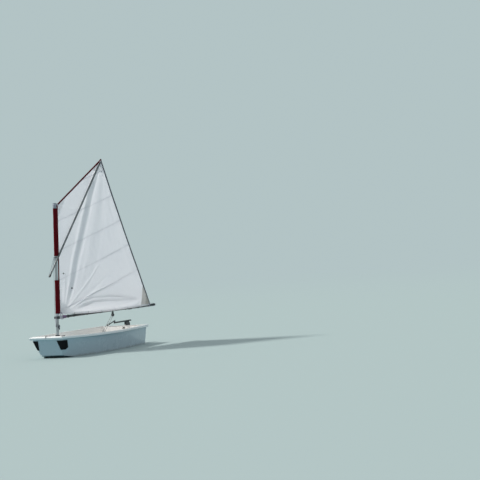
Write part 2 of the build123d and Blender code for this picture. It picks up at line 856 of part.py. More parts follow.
def mast_fittings():
    """A horn cleat on the leeward side of the mast and an eye on its front."""
    half = horn_cleat_length / 2
    reach = horn_cleat_reach
    horns = Polyline(
        (0, -0.4 * half), (0, 0.4 * half), (0.5 * reach, 0.3 * half), (0.7 * reach, half), (reach, 0.92 * half),
        (reach, -0.92 * half), (0.7 * reach, -half), (0.5 * reach, -0.3 * half), close=True
    )
    cleat = extrude(Plane.YZ * make_face(horns), horn_cleat_width / 2, both=True)
    foot = Pos(0, -mast_radius / 4, 0) * Box(horn_cleat_width, mast_radius / 2, 0.8 * half)
    cleat = Pos(0, -mast_radius, horn_cleat_height) * Rotation(0, 0, 180) * (cleat + foot)
    ring = Rotation(90, 0, 0) * (
        Cylinder(mast_eye_radius, mast_eye_width) - Cylinder(mast_eye_hole, 2 * mast_eye_width)
    )
    ring = Pos(-mast_radius, 0, mast_eye_height) * ring
    pole = Cylinder(mast_radius, 1000)
    keep("mast_fittings", Compound(children=[boom_frame() * (cleat - pole), boom_frame() * (ring - pole)]))


def boom_fittings():
    """A band round the boom, and two clam cleats under it for the lines of its two ends."""
    line = boom_line()
    turn = Rotation(0, 90, 0)
    tube = Cylinder(boom_radius, boom_band_length * 2)
    band = turn * (Cylinder(boom_radius + boom_band_wall, boom_band_length) - tube)
    pieces = [line * Pos(boom_band_place, 0, 0) * band]
    side = clam_cleat_width / 2
    section = Plane.YZ * make_face(
        Polyline(
            (-side, 0), (side, 0), (side, -clam_cleat_height), (0, -0.4 * clam_cleat_height),
            (-side, -clam_cleat_height), close=True
        )
    )
    for (place,) in CLAM_CLEATS:
        cleat = extrude(section, clam_cleat_length / 2, both=True)
        cleat = Pos(place, 0, -boom_radius * 0.8) * cleat
        pole = Pos(place, 0, 0) * turn * Cylinder(boom_radius, 2 * clam_cleat_length)
        pieces.append(line * (cleat - pole))
    keep("boom_fittings", Compound(children=pieces))


def sheave_block():
    """A single sheave block with its eye on top, hanging from the origin."""
    gap = block_width - 2 * block_cheek
    body = Pos(0, 0, -block_neck - block_radius) * Rotation(90, 0, 0) * Cylinder(block_radius, block_width)
    neck = Pos(0, 0, -(block_neck + block_radius) / 2) * Box(block_radius, block_width, block_neck + block_radius)
    body = body + neck
    window = Pos(0, 0, -block_neck - block_radius) * Box(3 * block_radius, gap, 2 * block_radius + 4)
    body = body - window
    groove = Plane.XZ * make_face(
        Polyline(
            (0, -gap / 2 + 0.3),
            (block_radius - 3, -gap / 2 + 0.3),
            (block_radius - 9, 0),
            (block_radius - 3, gap / 2 - 0.3),
            (0, gap / 2 - 0.3),
            close=True,
        )
    )
    sheave = revolve(groove, Axis.Z)
    sheave = Pos(0, 0, -block_neck - block_radius) * Rotation(90, 0, 0) * sheave
    pin = Pos(0, 0, -block_neck - block_radius) * Rotation(90, 0, 0) * Cylinder(
        block_pin_radius, block_width + 2
    )
    eye = Rotation(90, 0, 0) * (
        Cylinder(block_eye_radius, block_strap) - Cylinder(block_eye_hole, 2 * block_strap)
    )
    stem = Pos(0, 0, -block_eye_radius - 5) * Box(block_strap, block_strap, 14)
    return body + sheave + pin + eye + stem


def blocks():
    line = boom_line()
    hang = line * Pos(sheet_point, 0, -boom_radius - 14) * Rotation(0, boom_rise, 0)
    keep("boom_block", hang * sheave_block())
    low = floor_height(floor_block_x)
    turned = Pos(floor_block_x, 0, low + floor_block_height) * Rotation(180, 0, 90) * sheave_block()
    post_height = floor_block_height - block_eye_radius + 3
    post = Pos(floor_block_x, 0, low + post_height / 2) * Cylinder(block_eye_radius, post_height)
    foot = Pos(floor_block_x, 0, low) * Cylinder(24, 14)
    keep("floor_block", turned + ((post + foot) & cavity()))
    strop = line * (Pos(sheet_point, 0, 0) * Rotation(0, 90, 0) * (
        Cylinder(boom_radius + strop_wall, strop_width) - Cylinder(boom_radius, 2 * strop_width)
    ))
    lug = line * Pos(sheet_point, 0, -boom_radius - 8) * Box(10, block_strap, 12)
    cut = hang * Rotation(90, 0, 0) * Cylinder(block_eye_radius + 0.4, 12)
    keep("boom_strop", strop + (lug - cut))


hull_panels()
transoms()
end_rails()
bow_pads()
mast_thwart()
mast_step()
painter_eye()
midship_thwart()
daggerboard_case()
daggerboard()
buoyancy_bags()
toe_straps()
gudgeons()
pintles()
tiller_extension(rudder())
mast()
boom()
sail()
sleeves()
sprit()
sprit_caps()
mast_fittings()
boom_fittings()
blocks()

os.makedirs("parts", exist_ok=True)
for name, shape in parts.items():
    export_step(shape, "parts/" + name + ".step")
    print(name, round(shape.volume / 1000), "cm3")
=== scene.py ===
import bpy
import bmesh
import json
import math
import numpy as np
from mathutils import Matrix, Vector, noise
from mathutils.bvhtree import BVHTree


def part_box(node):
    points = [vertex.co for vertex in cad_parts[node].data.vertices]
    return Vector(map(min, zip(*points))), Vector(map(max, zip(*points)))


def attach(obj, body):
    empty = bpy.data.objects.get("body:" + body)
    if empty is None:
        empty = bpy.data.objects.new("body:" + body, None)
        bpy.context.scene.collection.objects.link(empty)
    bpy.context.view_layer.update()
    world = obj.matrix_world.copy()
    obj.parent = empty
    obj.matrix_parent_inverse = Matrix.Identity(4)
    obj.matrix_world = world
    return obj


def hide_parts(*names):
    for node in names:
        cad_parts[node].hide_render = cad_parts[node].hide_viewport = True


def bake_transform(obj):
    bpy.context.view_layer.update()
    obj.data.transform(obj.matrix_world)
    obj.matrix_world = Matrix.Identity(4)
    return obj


# Looks of a children's pram sailing dinghy: cloth, ropes, finishes, stage, light and camera.
# Lengths are in metres and angles in degrees. X points to the bow, Y to port and Z up.
# The rig has a frame of its own: x aft along the boom, y to starboard and z up the mast.

# Reading the solids and shading the pieces
end_slice = 0.004
sharp_angle = 50.0

# Sail
sail_columns = 150
sail_rows = 200
sail_ply = 0.0012
# Columns: share of the way from the foot to the head, depth of the belly, hollow of the leech
SAIL_SECTIONS = [
    (0.00, 0.0294, 0.000),
    (0.25, 0.0460, 0.012),
    (0.50, 0.0300, 0.016),
    (0.75, 0.0110, 0.012),
    (1.00, 0.0020, 0.000),
]
foot_droop = 0.034
clew_droop = 0.014
foot_droop_reach = 0.25
sail_waves = 0.0035
sail_crinkles = 0.0011
tie_spacing = 0.26
tie_pull = 0.004
tie_pull_reach = 0.07
# Folds of the sail. Columns: route as (x, z) in the rig's frame, width, depth to leeward
SAIL_FOLDS = [
    ([(0.945, 2.76), (0.81, 2.56), (0.675, 2.23), (0.545, 1.84), (0.445, 1.53), (0.335, 1.19), (0.26, 0.84),
      (0.14, 0.38)], 0.024, -0.019),
    ([(0.965, 2.72), (0.87, 2.53), (0.755, 2.22), (0.635, 1.84), (0.53, 1.53), (0.415, 1.19), (0.33, 0.84),
      (0.19, 0.42)], 0.026, 0.018),
    ([(0.97, 2.68), (0.93, 2.45), (0.84, 2.10), (0.74, 1.70), (0.62, 1.25), (0.46, 0.80)], 0.045, -0.007),
    ([(0.98, 2.60), (0.98, 2.20), (0.90, 1.65), (0.78, 1.20), (0.60, 0.78)], 0.050, 0.006),
    ([(0.10, 0.36), (0.28, 0.51), (0.62, 0.87), (0.86, 1.15)], 0.011, -0.008),
    ([(0.11, 0.36), (0.30, 0.45), (0.75, 0.695), (1.08, 0.805), (1.35, 0.905)], 0.011, -0.008),
    ([(0.10, 0.37), (0.34, 0.48), (0.74, 0.76), (1.02, 0.96)], 0.018, 0.005),
    ([(0.32, 0.44), (0.50, 0.545), (0.68, 0.590), (1.01, 0.610), (1.40, 0.603)], 0.011, 0.012),
    ([(0.38, 0.41), (0.54, 0.475), (0.68, 0.522), (1.00, 0.538), (1.39, 0.548)], 0.012, 0.007),
    ([(0.36, 0.42), (0.70, 0.49), (1.10, 0.52), (1.70, 0.56)], 0.058, 0.034),
    ([(1.93, 0.52), (1.60, 0.67), (1.20, 0.85), (0.86, 1.10)], 0.030, 0.003),
    ([(1.93, 0.53), (1.70, 0.80), (1.50, 1.15), (1.32, 1.60)], 0.034, -0.004),
    ([(0.07, 2.05), (0.30, 1.98), (0.52, 2.00), (0.72, 2.14)], 0.022, -0.004),
    ([(0.07, 2.00), (0.26, 1.82), (0.40, 1.54)], 0.026, 0.003),
    ([(0.95, 2.76), (1.02, 2.47), (1.12, 2.12), (1.22, 1.77)], 0.030, 0.003),
    ([(0.07, 0.36), (0.13, 0.50), (0.16, 0.72), (0.17, 0.95)], 0.012, -0.007),
    ([(0.07, 0.38), (0.095, 0.55), (0.10, 0.80)], 0.010, 0.006),
    ([(0.065, 0.84), (0.15, 0.85), (0.24, 0.89)], 0.008, -0.004),
    ([(0.065, 0.73), (0.13, 0.735), (0.20, 0.76)], 0.008, -0.004),
]

# What is sewn on the sail. A lift is the height of its faces off the middle of the sail
band_step = 0.012
seam_slope = 22.0
seam_width = 0.011
seam_lift = 0.0010
seam_step = 0.01
seam_start = 0.004
SEAM_STATIONS = [0.35, 0.79, 1.21, 1.64, 2.07]
leech_tape_width = 0.028
head_tape_width = 0.024
foot_tape_width = 0.028
tape_lift = 0.0014
head_tape_lift = 0.0030
# How far a tape's middle lies inside its edge, as a share of its width, and the ways in from the edges
tape_inset = 0.46
leech_inward = (-0.92, 0, -0.4)
head_inward = (0.63, 0, -0.77)
foot_inward = (0, 0, 1)
patch_rows = 14
patch_lift = 0.0018
small_patch_lift = 0.0024
# Patches, each with its three corners as (x, z) from the corner of the sail that its name starts with
SAIL_PATCHES = {
    "clew": [(-0.012, 0.012), (-0.165, 0.30), (-0.225, -0.004)],
    "clew_small": [(-0.012, 0.012), (-0.090, 0.155), (-0.125, 0.002)],
    "tack": [(0.004, 0.012), (0.004, 0.22), (0.24, 0.032)],
    "tack_small": [(0.004, 0.012), (0.004, 0.12), (0.13, 0.020)],
    "peak": [(-0.012, -0.022), (-0.20, -0.185), (0.075, -0.235)],
    "peak_small": [(-0.012, -0.022), (-0.11, -0.11), (0.032, -0.135)],
    "throat": [(0.006, -0.012), (0.005, -0.20), (0.16, 0.10)],
}
# Eyelets at the corners of the sail, as (x, z) from each corner
CORNER_EYELETS = {
    "tack": (0.022, 0.020), "throat": (0.022, -0.012), "clew": (-0.030, 0.020), "peak": (-0.014, -0.034),
}
tie_eyelet_above_foot = 0.014
eyelet_radius = 0.0085
tie_eyelet_radius = 0.0060
eyelet_rim_out = 0.0028
eyelet_rim_across = 0.0026
# Stickers of the wind threads on the sail, as (x, z)
THREAD_PLACES = [(0.137, 0.976), (0.282, 0.747)]
sticker_radius = 0.011
# Rings of a sticker from face to face. Columns: height off the sail, share of the radius
STICKER_RINGS = [
    (-0.0012, 0.3), (-0.0022, 0.85), (-0.0014, 1.0), (0.0014, 1.0), (0.0022, 0.85), (0.0012, 0.3),
]
# Route of a wind thread from its sticker's middle, as (x, height off the sail, z)
THREAD_ROUTE = [
    (0.004, 0.0030, 0.0), (0.016, 0.0050, -0.002), (0.028, 0.0045, -0.008), (0.036, 0.0060, -0.016),
]
thread_radius = 0.0011
thread_step = 0.004

# Luff sleeve. A half is half the thickness of what lies behind the mast
sleeve_ply = 0.0015
sleeve_hem = 0.030
sleeve_hem_lift = 0.0009
sleeve_row = 0.008
sleeve_clearance = 0.0006
sleeve_wrinkles = 0.0016
sleeve_pleats = 0.0007
sleeve_fullness = 0.0006
sleeve_gather_reach = 0.09
sleeve_leaves_mast_at = 62.0
sleeve_tail_half = 0.0030
sleeve_tail_half_inside = 0.0014
sleeve_tail_hem = 0.002

# Strip of sleeve cloth behind the open part of the mast
strip_row = 0.01
strip_wave = 0.0012
strip_slack = 0.004
# Columns: distance behind the strip's front edge, half of its thickness there
STRIP_SECTION = [(0.0, 0.0014), (0.001, 0.0026)]
strip_back_half = 0.0028

# Ropes, as radii, and their strands
sheet_radius = 0.0042
line_radius = 0.0027
thin_line_radius = 0.0019
dark_line_radius = 0.0060
lashing_radius = 0.0030
painted_shade_end_radius = 0.0042
rope_pitch = 0.022
rope_strands = 3
rope_sides = 12
strand_swell = 0.09
finest_rope_step = 0.0035
# Advance of a lashing in one turn, as a share of its line's radius
turn_pitch = 2.1
loop_steps = 16

# Turns of line on the jaw and the boom. Columns: name, distance aft of the mast, turns
BOOM_TURNS = [("tack_wrap", 0.135, 11), ("foot_knot", 0.215, 3)]
jaw_half_width = 0.033
jaw_half_depth = 0.018
jaw_lashing_at = 0.047
jaw_lashing_turns = 9
jaw_wrap_beside = 0.0055
jaw_wrap_above = 0.0045

# Mainsheet
sheave_radius = 0.017
sheave_in_block = 0.024
sheet_step = 0.005

# Webbing and bags
webbing_thickness = 0.0024
webbing_gap = 0.0003
bag_strap_width = 0.038
bag_rows = 88
bag_sides = 56
bag_end_gap = 0.004
bag_side_gap = 0.0015
bag_least_gap = 0.0008
bag_least_radius = 0.002
bag_groove = 0.0045
bag_groove_share = 0.62
bag_pucker = 0.006
bag_dimple = 0.0018
toe_strap_width = 0.050
toe_strap_sag = 0.010
toe_strap_lean = 0.12
toe_strap_crown = 0.0015

# Plate inside the stern
plate_height = 0.279
plate_width = 0.052
plate_rise = 0.026
plate_corner = 0.006
bolt_offset = 0.015
# Rings of the plate and of a bolt's head. Columns: height off the stern, then share of the outline or radius
PLATE_RINGS = [(0.0, 1.0), (0.0030, 1.0), (0.0040, 0.94), (0.0041, 0.4)]
BOLT_RINGS = [(0.0035, 0.0050), (0.0062, 0.0050), (0.0074, 0.0036), (0.0076, 0.0012)]
bolt_sides = 16

# Camera, placed in the boat's own frame, so it leans by the boat's heel
camera_place = (20.107, 12.863, 1.732)
camera_looks_along = (-0.8949, -0.4462, -0.0056)
camera_upright = (-0.0369, 0.0614, 0.9974)
camera_lens = 111.78
sensor_width = 36.0

# Stage and light
floor_reach = 600.0
floor_inside_wall = 0.004
floor_fades_from = 7.0
floor_fades_to = 34.0
backdrop_colour = (0.45, 0.55, 0.56)
floor_colour = (0.38, 0.47, 0.47)
floor_bounce = (0.13, 0.26, 0.30)
sky_low = (0.64, 0.75, 0.84)
sky_high = (0.90, 0.91, 0.92)
sky_strength = 0.70
sun_heading = -66.0
sun_height = 43.0
sun_strength = 2.80
sun_spread = 8.0
sun_colour = (1.0, 0.97, 0.92)

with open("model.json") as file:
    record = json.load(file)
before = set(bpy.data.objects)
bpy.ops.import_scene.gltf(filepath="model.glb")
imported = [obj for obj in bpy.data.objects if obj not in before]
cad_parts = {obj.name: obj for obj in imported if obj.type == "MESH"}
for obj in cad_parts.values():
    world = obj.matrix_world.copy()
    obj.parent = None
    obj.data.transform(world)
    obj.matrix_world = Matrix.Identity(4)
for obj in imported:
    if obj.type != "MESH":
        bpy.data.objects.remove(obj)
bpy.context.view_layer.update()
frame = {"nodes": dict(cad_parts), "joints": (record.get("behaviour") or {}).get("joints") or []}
nodes = frame["nodes"]
joints = {joint["name"]: joint for joint in frame["joints"]}


def node_points(name):
    """Return the corners of a node's mesh, in the boat's frame."""
    mesh = nodes[name].data
    points = np.empty(len(mesh.vertices) * 3)
    mesh.vertices.foreach_get("co", points)
    return points.reshape(-1, 3)


def node_surface(name):
    """Return a node's surface, to find where a line meets it."""
    mesh = nodes[name].data
    corners = [vertex.co.copy() for vertex in mesh.vertices]
    return BVHTree.FromPolygons(corners, [tuple(face.vertices) for face in mesh.polygons])


def spar_ends(name):
    """Return the centres of the two ends of a long round node."""
    points = node_points(name)
    middle = points.mean(axis=0)
    along = np.linalg.svd(points - middle, full_matrices=False)[2][0]
    reach = (points - middle) @ along
    ends = []
    for end in (reach.min(), reach.max()):
        ring = points[np.abs(reach - end) < end_slice]
        ends.append(Vector((ring.min(axis=0) + ring.max(axis=0)) / 2))
    return ends


def rig_frame():
    """Return the rig's frame as a matrix, from its joint and the direction of the boom."""
    joint = joints["rig_turn"]
    up = Vector(joint["axis"]).normalized()
    start, end = spar_ends("boom")
    if (end - Vector(joint["pos_m"])).length < (start - Vector(joint["pos_m"])).length:
        start, end = end, start
    aft = end - start
    aft = (aft - up * aft.dot(up)).normalized()
    across = up.cross(aft)
    turned = Matrix((aft, across, up)).transposed().to_4x4()
    return Matrix.Translation(Vector(joint["pos_m"])) @ turned


RIG = rig_frame()
RIG_BACK = RIG.inverted()


def rig_point(x, y, z):
    """Return the boat's place of a point that is given in the rig's frame."""
    return RIG @ Vector((x, y, z))


def in_rig(name):
    """Return a node's points in the rig's frame."""
    turned = np.array(RIG_BACK)
    return node_points(name) @ turned[:3, :3].T + turned[:3, 3]


def smooth_route(points, step):
    """Return points about a step apart on a smooth line through the given points."""
    points = [Vector(point) for point in points]
    points = [points[0] * 2 - points[1]] + points + [points[-1] * 2 - points[-2]]
    route = []
    for a, b, c, d in zip(points, points[1:], points[2:], points[3:]):
        count = max(1, round((c - b).length / step))
        for i in range(count):
            t = i / count
            route.append(0.5 * (
                2 * b + (c - a) * t + (2 * a - 5 * b + 4 * c - d) * t ** 2 + (3 * b - a - 3 * c + d) * t ** 3
            ))
    route.append(points[-2])
    return route


def path_frames(route):
    """Return two directions across a route at each of its points, without a twist."""
    side = None
    frames = []
    for i in range(len(route)):
        along = (route[min(i + 1, len(route) - 1)] - route[max(i - 1, 0)]).normalized()
        if side is None:
            side = along.orthogonal().normalized()
        side = (side - along * side.dot(along)).normalized()
        frames.append((side.copy(), along.cross(side)))
    return frames


def at_angle(first, second, angle):
    """Return the direction at an angle from the first direction towards the second."""
    return first * math.cos(angle) + second * math.sin(angle)


def make_piece(name, points, faces, material, spread=None):
    """Make an object from points, faces and the points' places on the cloth, in metres."""
    mesh = bpy.data.meshes.new(name)
    mesh.from_pydata([tuple(point) for point in points], [], faces)
    if spread is not None:
        layer = mesh.uv_layers.new(name="cloth")
        order = np.empty(len(mesh.loops), dtype=int)
        mesh.loops.foreach_get("vertex_index", order)
        layer.data.foreach_set("uv", np.array(spread, dtype=float)[order].ravel())
    mesh.materials.append(material)
    work = bmesh.new()
    work.from_mesh(mesh)
    bmesh.ops.recalc_face_normals(work, faces=work.faces)
    work.to_mesh(mesh)
    work.free()
    mesh.shade_smooth()
    mesh.set_sharp_from_angle(angle=math.radians(sharp_angle))
    piece = bpy.data.objects.new(name, mesh)
    bpy.context.scene.collection.objects.link(piece)
    return piece


def fit(piece, body, node=None):
    """Fix a piece on its body, and let it take the place of a node."""
    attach(piece, body)
    if node:
        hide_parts(node)


def band_faces(rows, sides, closed=False, capped=True):
    """Return the faces of a tube of so many rows of so many points."""
    faces = []
    for i in range(rows if closed else rows - 1):
        for j in range(sides):
            k = (j + 1) % sides
            n = (i + 1) % rows
            faces.append((i * sides + j, i * sides + k, n * sides + k, n * sides + j))
    if capped and not closed:
        faces.append(tuple(range(sides)))
        faces.append(tuple((rows - 1) * sides + j for j in range(sides)))
    return faces


def join(name, parts):
    """Join pieces that share a body into one object."""
    with bpy.context.temp_override(active_object=parts[0], selected_editable_objects=parts):
        bpy.ops.object.join()
    parts[0].name = name
    parts[0].data.name = name
    return parts[0]


def rope(name, points, radius, material, step=None):
    """Lay a twisted rope through the points."""
    route = smooth_route(points, step or max(finest_rope_step, radius * 1.1))
    places, spread = [], []
    run = 0.0
    for i, (place, (a, b)) in enumerate(zip(route, path_frames(route))):
        if i:
            run += (place - route[i - 1]).length
        for j in range(rope_sides):
            turn = 2 * math.pi * j / rope_sides
            swell = 1 + strand_swell * math.cos(rope_strands * turn - 2 * math.pi * run / rope_pitch)
            places.append(place + at_angle(a, b, turn) * radius * swell)
            spread.append((run, j / rope_sides))
    return make_piece(name, places, band_faces(len(route), rope_sides), material, spread)


def turns_round(centre, axis, radius, turns, advance=0.0, start=0.0, count=12):
    """Return the points of turns about an axis, so many of them to each turn."""
    axis = axis.normalized()
    a = axis.orthogonal().normalized()
    b = axis.cross(a)
    points = []
    total = round(turns * count)
    for i in range(total + 1):
        share = i / total
        angle = start + 2 * math.pi * turns * share
        points.append(centre + axis * advance * (share - 0.5) + at_angle(a, b, angle) * radius)
    return points


def give(tree, socket, value):
    """Link a socket to another node's output, or set its own value."""
    if isinstance(value, bpy.types.NodeSocket):
        tree.links.new(value, socket)
    elif socket.type == "RGBA":
        socket.default_value = tuple(value)[:3] + (1.0,)
    else:
        socket.default_value = value


def wire(tree, kind, inputs=None, **settings):
    """Add a shader node, with its settings, and link or set its inputs."""
    made = tree.nodes.new(kind)
    for key, value in settings.items():
        setattr(made, key, value)
    for key, value in (inputs or {}).items():
        give(tree, made.inputs[key], value)
    return made


def calc(tree, operation, *values, clamp=False):
    """Add a math node and return its output."""
    made = wire(tree, "ShaderNodeMath", dict(enumerate(values)), operation=operation, use_clamp=clamp)
    return made.outputs[0]


def vector_calc(tree, operation, *values):
    """Add a vector math node and return its outputs, the vector first and the value second."""
    return wire(tree, "ShaderNodeVectorMath", dict(enumerate(values)), operation=operation).outputs


def speckle(tree, place, scale, detail, **more):
    """Add a noise texture and return its value."""
    inputs = {"Vector": place, "Scale": scale, "Detail": detail, **more}
    return wire(tree, "ShaderNodeTexNoise", inputs).outputs[0]


def blend_colours(tree, share, first, second):
    """Return the first colour at a share of 0, the second at 1, and a mix between them."""
    return wire(tree, "ShaderNodeMix", {0: share, 6: first, 7: second}, data_type="RGBA").outputs[2]


def ramp(tree, value, low, high):
    """Return a smooth step of a value, which is 0 at low and 1 at high."""
    made = wire(tree, "ShaderNodeMapRange", {0: value, 1: low, 2: high}, interpolation_type="SMOOTHSTEP")
    return made.outputs[0]


def new_group(name, inputs, outputs):
    """Start a shader node group and return its tree, its inputs and its end node."""
    tree = bpy.data.node_groups.new(name, "ShaderNodeTree")
    for label, kind, value in inputs:
        socket = tree.interface.new_socket(name=label, in_out="INPUT", socket_type="NodeSocket" + kind)
        if value is not None:
            socket.default_value = value
    for label, kind in outputs:
        tree.interface.new_socket(name=label, in_out="OUTPUT", socket_type="NodeSocket" + kind)
    return tree, tree.nodes.new("NodeGroupInput").outputs, tree.nodes.new("NodeGroupOutput").inputs


def use(tree, group, **values):
    """Place a node group, with its named inputs, and return its outputs."""
    return wire(tree, "ShaderNodeGroup", values, node_tree=group).outputs


def patches_group():
    """Slow changes of colour, as on old paint, plastic and cloth."""
    tree, given, out = new_group(
        "patches",
        [("Vector", "Vector", None), ("Base", "Color", None), ("Shade", "Color", None),
         ("Scale", "Float", 4.0), ("Amount", "Float", 0.5)],
        [("Color", "Color"), ("Mask", "Float")],
    )
    broad = speckle(tree, given["Vector"], given["Scale"], 3.0)
    fine = speckle(tree, given["Vector"], calc(tree, "MULTIPLY", given["Scale"], 9.0), 5.0)
    both = calc(tree, "MULTIPLY_ADD", fine, 0.35, calc(tree, "MULTIPLY", broad, 0.65))
    mask = ramp(tree, both, 0.42, 0.62)
    share = calc(tree, "MULTIPLY", mask, given["Amount"])
    tree.links.new(blend_colours(tree, share, given["Base"], given["Shade"]), out["Color"])
    tree.links.new(mask, out["Mask"])
    return tree


def scuffs_group():
    """Fine scratches that run one way, as a mask."""
    tree, given, out = new_group(
        "scuffs",
        [("Vector", "Vector", None), ("Scale", "Float", 30.0), ("Amount", "Float", 0.5)],
        [("Mask", "Float")],
    )
    bent = wire(tree, "ShaderNodeTexNoise", {"Vector": given["Vector"], "Scale": 2.0, "Detail": 2.0})
    shifted = vector_calc(tree, "MULTIPLY", bent.outputs[1], (0.25, 0.25, 0.25))
    moved = vector_calc(tree, "ADD", given["Vector"], shifted[0])
    stretched = vector_calc(tree, "MULTIPLY", moved[0], (0.12, 1.0, 1.4))
    lines = speckle(tree, stretched[0], given["Scale"], 8.0, Roughness=0.75)
    sharp = ramp(tree, lines, 0.60, 0.68)
    tree.links.new(calc(tree, "MULTIPLY", sharp, given["Amount"]), out["Mask"])
    return tree


def wear_group():
    """A mask of the edges and corners that rub bare."""
    tree, given, out = new_group(
        "worn edges",
        [("Vector", "Vector", None), ("Radius", "Float", 0.003), ("Amount", "Float", 1.0)],
        [("Mask", "Float"), ("Normal", "Vector")],
    )
    rounded = wire(tree, "ShaderNodeBevel", {"Radius": given["Radius"]}, samples=4)
    flat = wire(tree, "ShaderNodeNewGeometry")
    close = vector_calc(tree, "DOT_PRODUCT", rounded.outputs[0], flat.outputs["Normal"])
    turned = calc(tree, "SUBTRACT", 1.0, close[1])
    spots = speckle(tree, given["Vector"], 60.0, 6.0)
    worn = calc(tree, "MULTIPLY", ramp(tree, turned, 0.01, 0.12), ramp(tree, spots, 0.38, 0.58))
    tree.links.new(calc(tree, "MULTIPLY", worn, given["Amount"], clamp=True), out["Mask"])
    tree.links.new(rounded.outputs[0], out["Normal"])
    return tree


def weave_group():
    """Plain weave, with a height and a mask of the gaps between threads."""
    tree, given, out = new_group(
        "weave",
        [("Vector", "Vector", None), ("Threads", "Float", 900.0)],
        [("Height", "Float"), ("Gaps", "Float")],
    )
    parts = wire(tree, "ShaderNodeSeparateXYZ", {0: given["Vector"]})
    turns = calc(tree, "MULTIPLY", given["Threads"], math.pi)
    across = calc(tree, "SINE", calc(tree, "MULTIPLY", parts.outputs[0], turns))
    along = calc(tree, "SINE", calc(tree, "MULTIPLY", parts.outputs[1], turns))
    height = calc(tree, "MULTIPLY_ADD", calc(tree, "MULTIPLY", across, along), 0.5, 0.5)
    tree.links.new(height, out["Height"])
    low = calc(tree, "MULTIPLY", calc(tree, "ABSOLUTE", across), calc(tree, "ABSOLUTE", along))
    tree.links.new(ramp(tree, low, 0.25, 0.0), out["Gaps"])
    return tree


def braid_group():
    """Strands laid round a rope, with a mask of one marker strand."""
    tree, given, out = new_group(
        "strands",
        [("Vector", "Vector", None), ("Pitch", "Float", rope_pitch)],
        [("Height", "Float"), ("Marker", "Float")],
    )
    parts = wire(tree, "ShaderNodeSeparateXYZ", {0: given["Vector"]})
    run = calc(tree, "DIVIDE", parts.outputs[0], given["Pitch"])
    waves = []
    for lay in (8.0, -8.0):
        turn = calc(tree, "MULTIPLY_ADD", parts.outputs[1], lay, run)
        waves.append(calc(tree, "SINE", calc(tree, "MULTIPLY", turn, math.tau)))
    tree.links.new(calc(tree, "MULTIPLY_ADD", calc(tree, "MULTIPLY", *waves), 0.5, 0.5), out["Height"])
    one = calc(tree, "SINE", calc(tree, "MULTIPLY", calc(tree, "SUBTRACT", parts.outputs[1], run), math.tau))
    tree.links.new(ramp(tree, one, 0.55, 0.8), out["Marker"])
    return tree


def stitches_group():
    """Two rows of zigzag stitches along a strip whose width is given."""
    tree, given, out = new_group(
        "stitches",
        [("Vector", "Vector", None), ("Width", "Float", 0.014), ("Length", "Float", 0.005)],
        [("Mask", "Float")],
    )
    parts = wire(tree, "ShaderNodeSeparateXYZ", {0: given["Vector"]})
    share = calc(tree, "DIVIDE", calc(tree, "ABSOLUTE", parts.outputs[1]), given["Width"])
    swing = calc(tree, "PINGPONG", calc(tree, "DIVIDE", parts.outputs[0], given["Length"]), 1.0)
    row = calc(tree, "ABSOLUTE", calc(tree, "SUBTRACT", share, calc(tree, "MULTIPLY_ADD", swing, 0.10, 0.26)))
    tree.links.new(ramp(tree, row, 0.035, 0.015), out["Mask"])
    return tree


def streaks_group():
    """Fine lines along a drawn metal tube, as a mask."""
    tree, given, out = new_group(
        "drawn lines", [("Vector", "Vector", None), ("Scale", "Float", 60.0)], [("Mask", "Float")]
    )
    stretched = vector_calc(tree, "MULTIPLY", given["Vector"], (0.015, 1.0, 1.0))
    lines = speckle(tree, stretched[0], given["Scale"], 7.0, Roughness=0.7)
    tree.links.new(ramp(tree, lines, 0.35, 0.68), out["Mask"])
    return tree


PATCHES = patches_group()
SCUFFS = scuffs_group()
WEAR = wear_group()
WEAVE = weave_group()
BRAID = braid_group()
STITCHES = stitches_group()
STREAKS = streaks_group()


def start_finish(name):
    """Start a material and return it with its tree, its shader and its places on the object."""
    made = bpy.data.materials.new(name)
    made.use_nodes = True
    tree = made.node_tree
    tree.nodes.clear()
    shader = wire(tree, "ShaderNodeBsdfPrincipled")
    wire(tree, "ShaderNodeOutputMaterial", {"Surface": shader.outputs[0]})
    place = wire(tree, "ShaderNodeTexCoord").outputs["Object"]
    return made, tree, shader, place


def set_shader(tree, shader, **values):
    """Link or set the shader's sockets, named with underscores for spaces."""
    for key, value in values.items():
        give(tree, shader.inputs[key.replace("_", " ")], value)


def bump(tree, height, distance, normal=None):
    """Raise a surface by a height, on top of another normal, and return the new normal."""
    inputs = {"Height": height, "Distance": distance, "Strength": 1.0}
    if normal is not None:
        inputs["Normal"] = normal
    return wire(tree, "ShaderNodeBump", inputs).outputs[0]


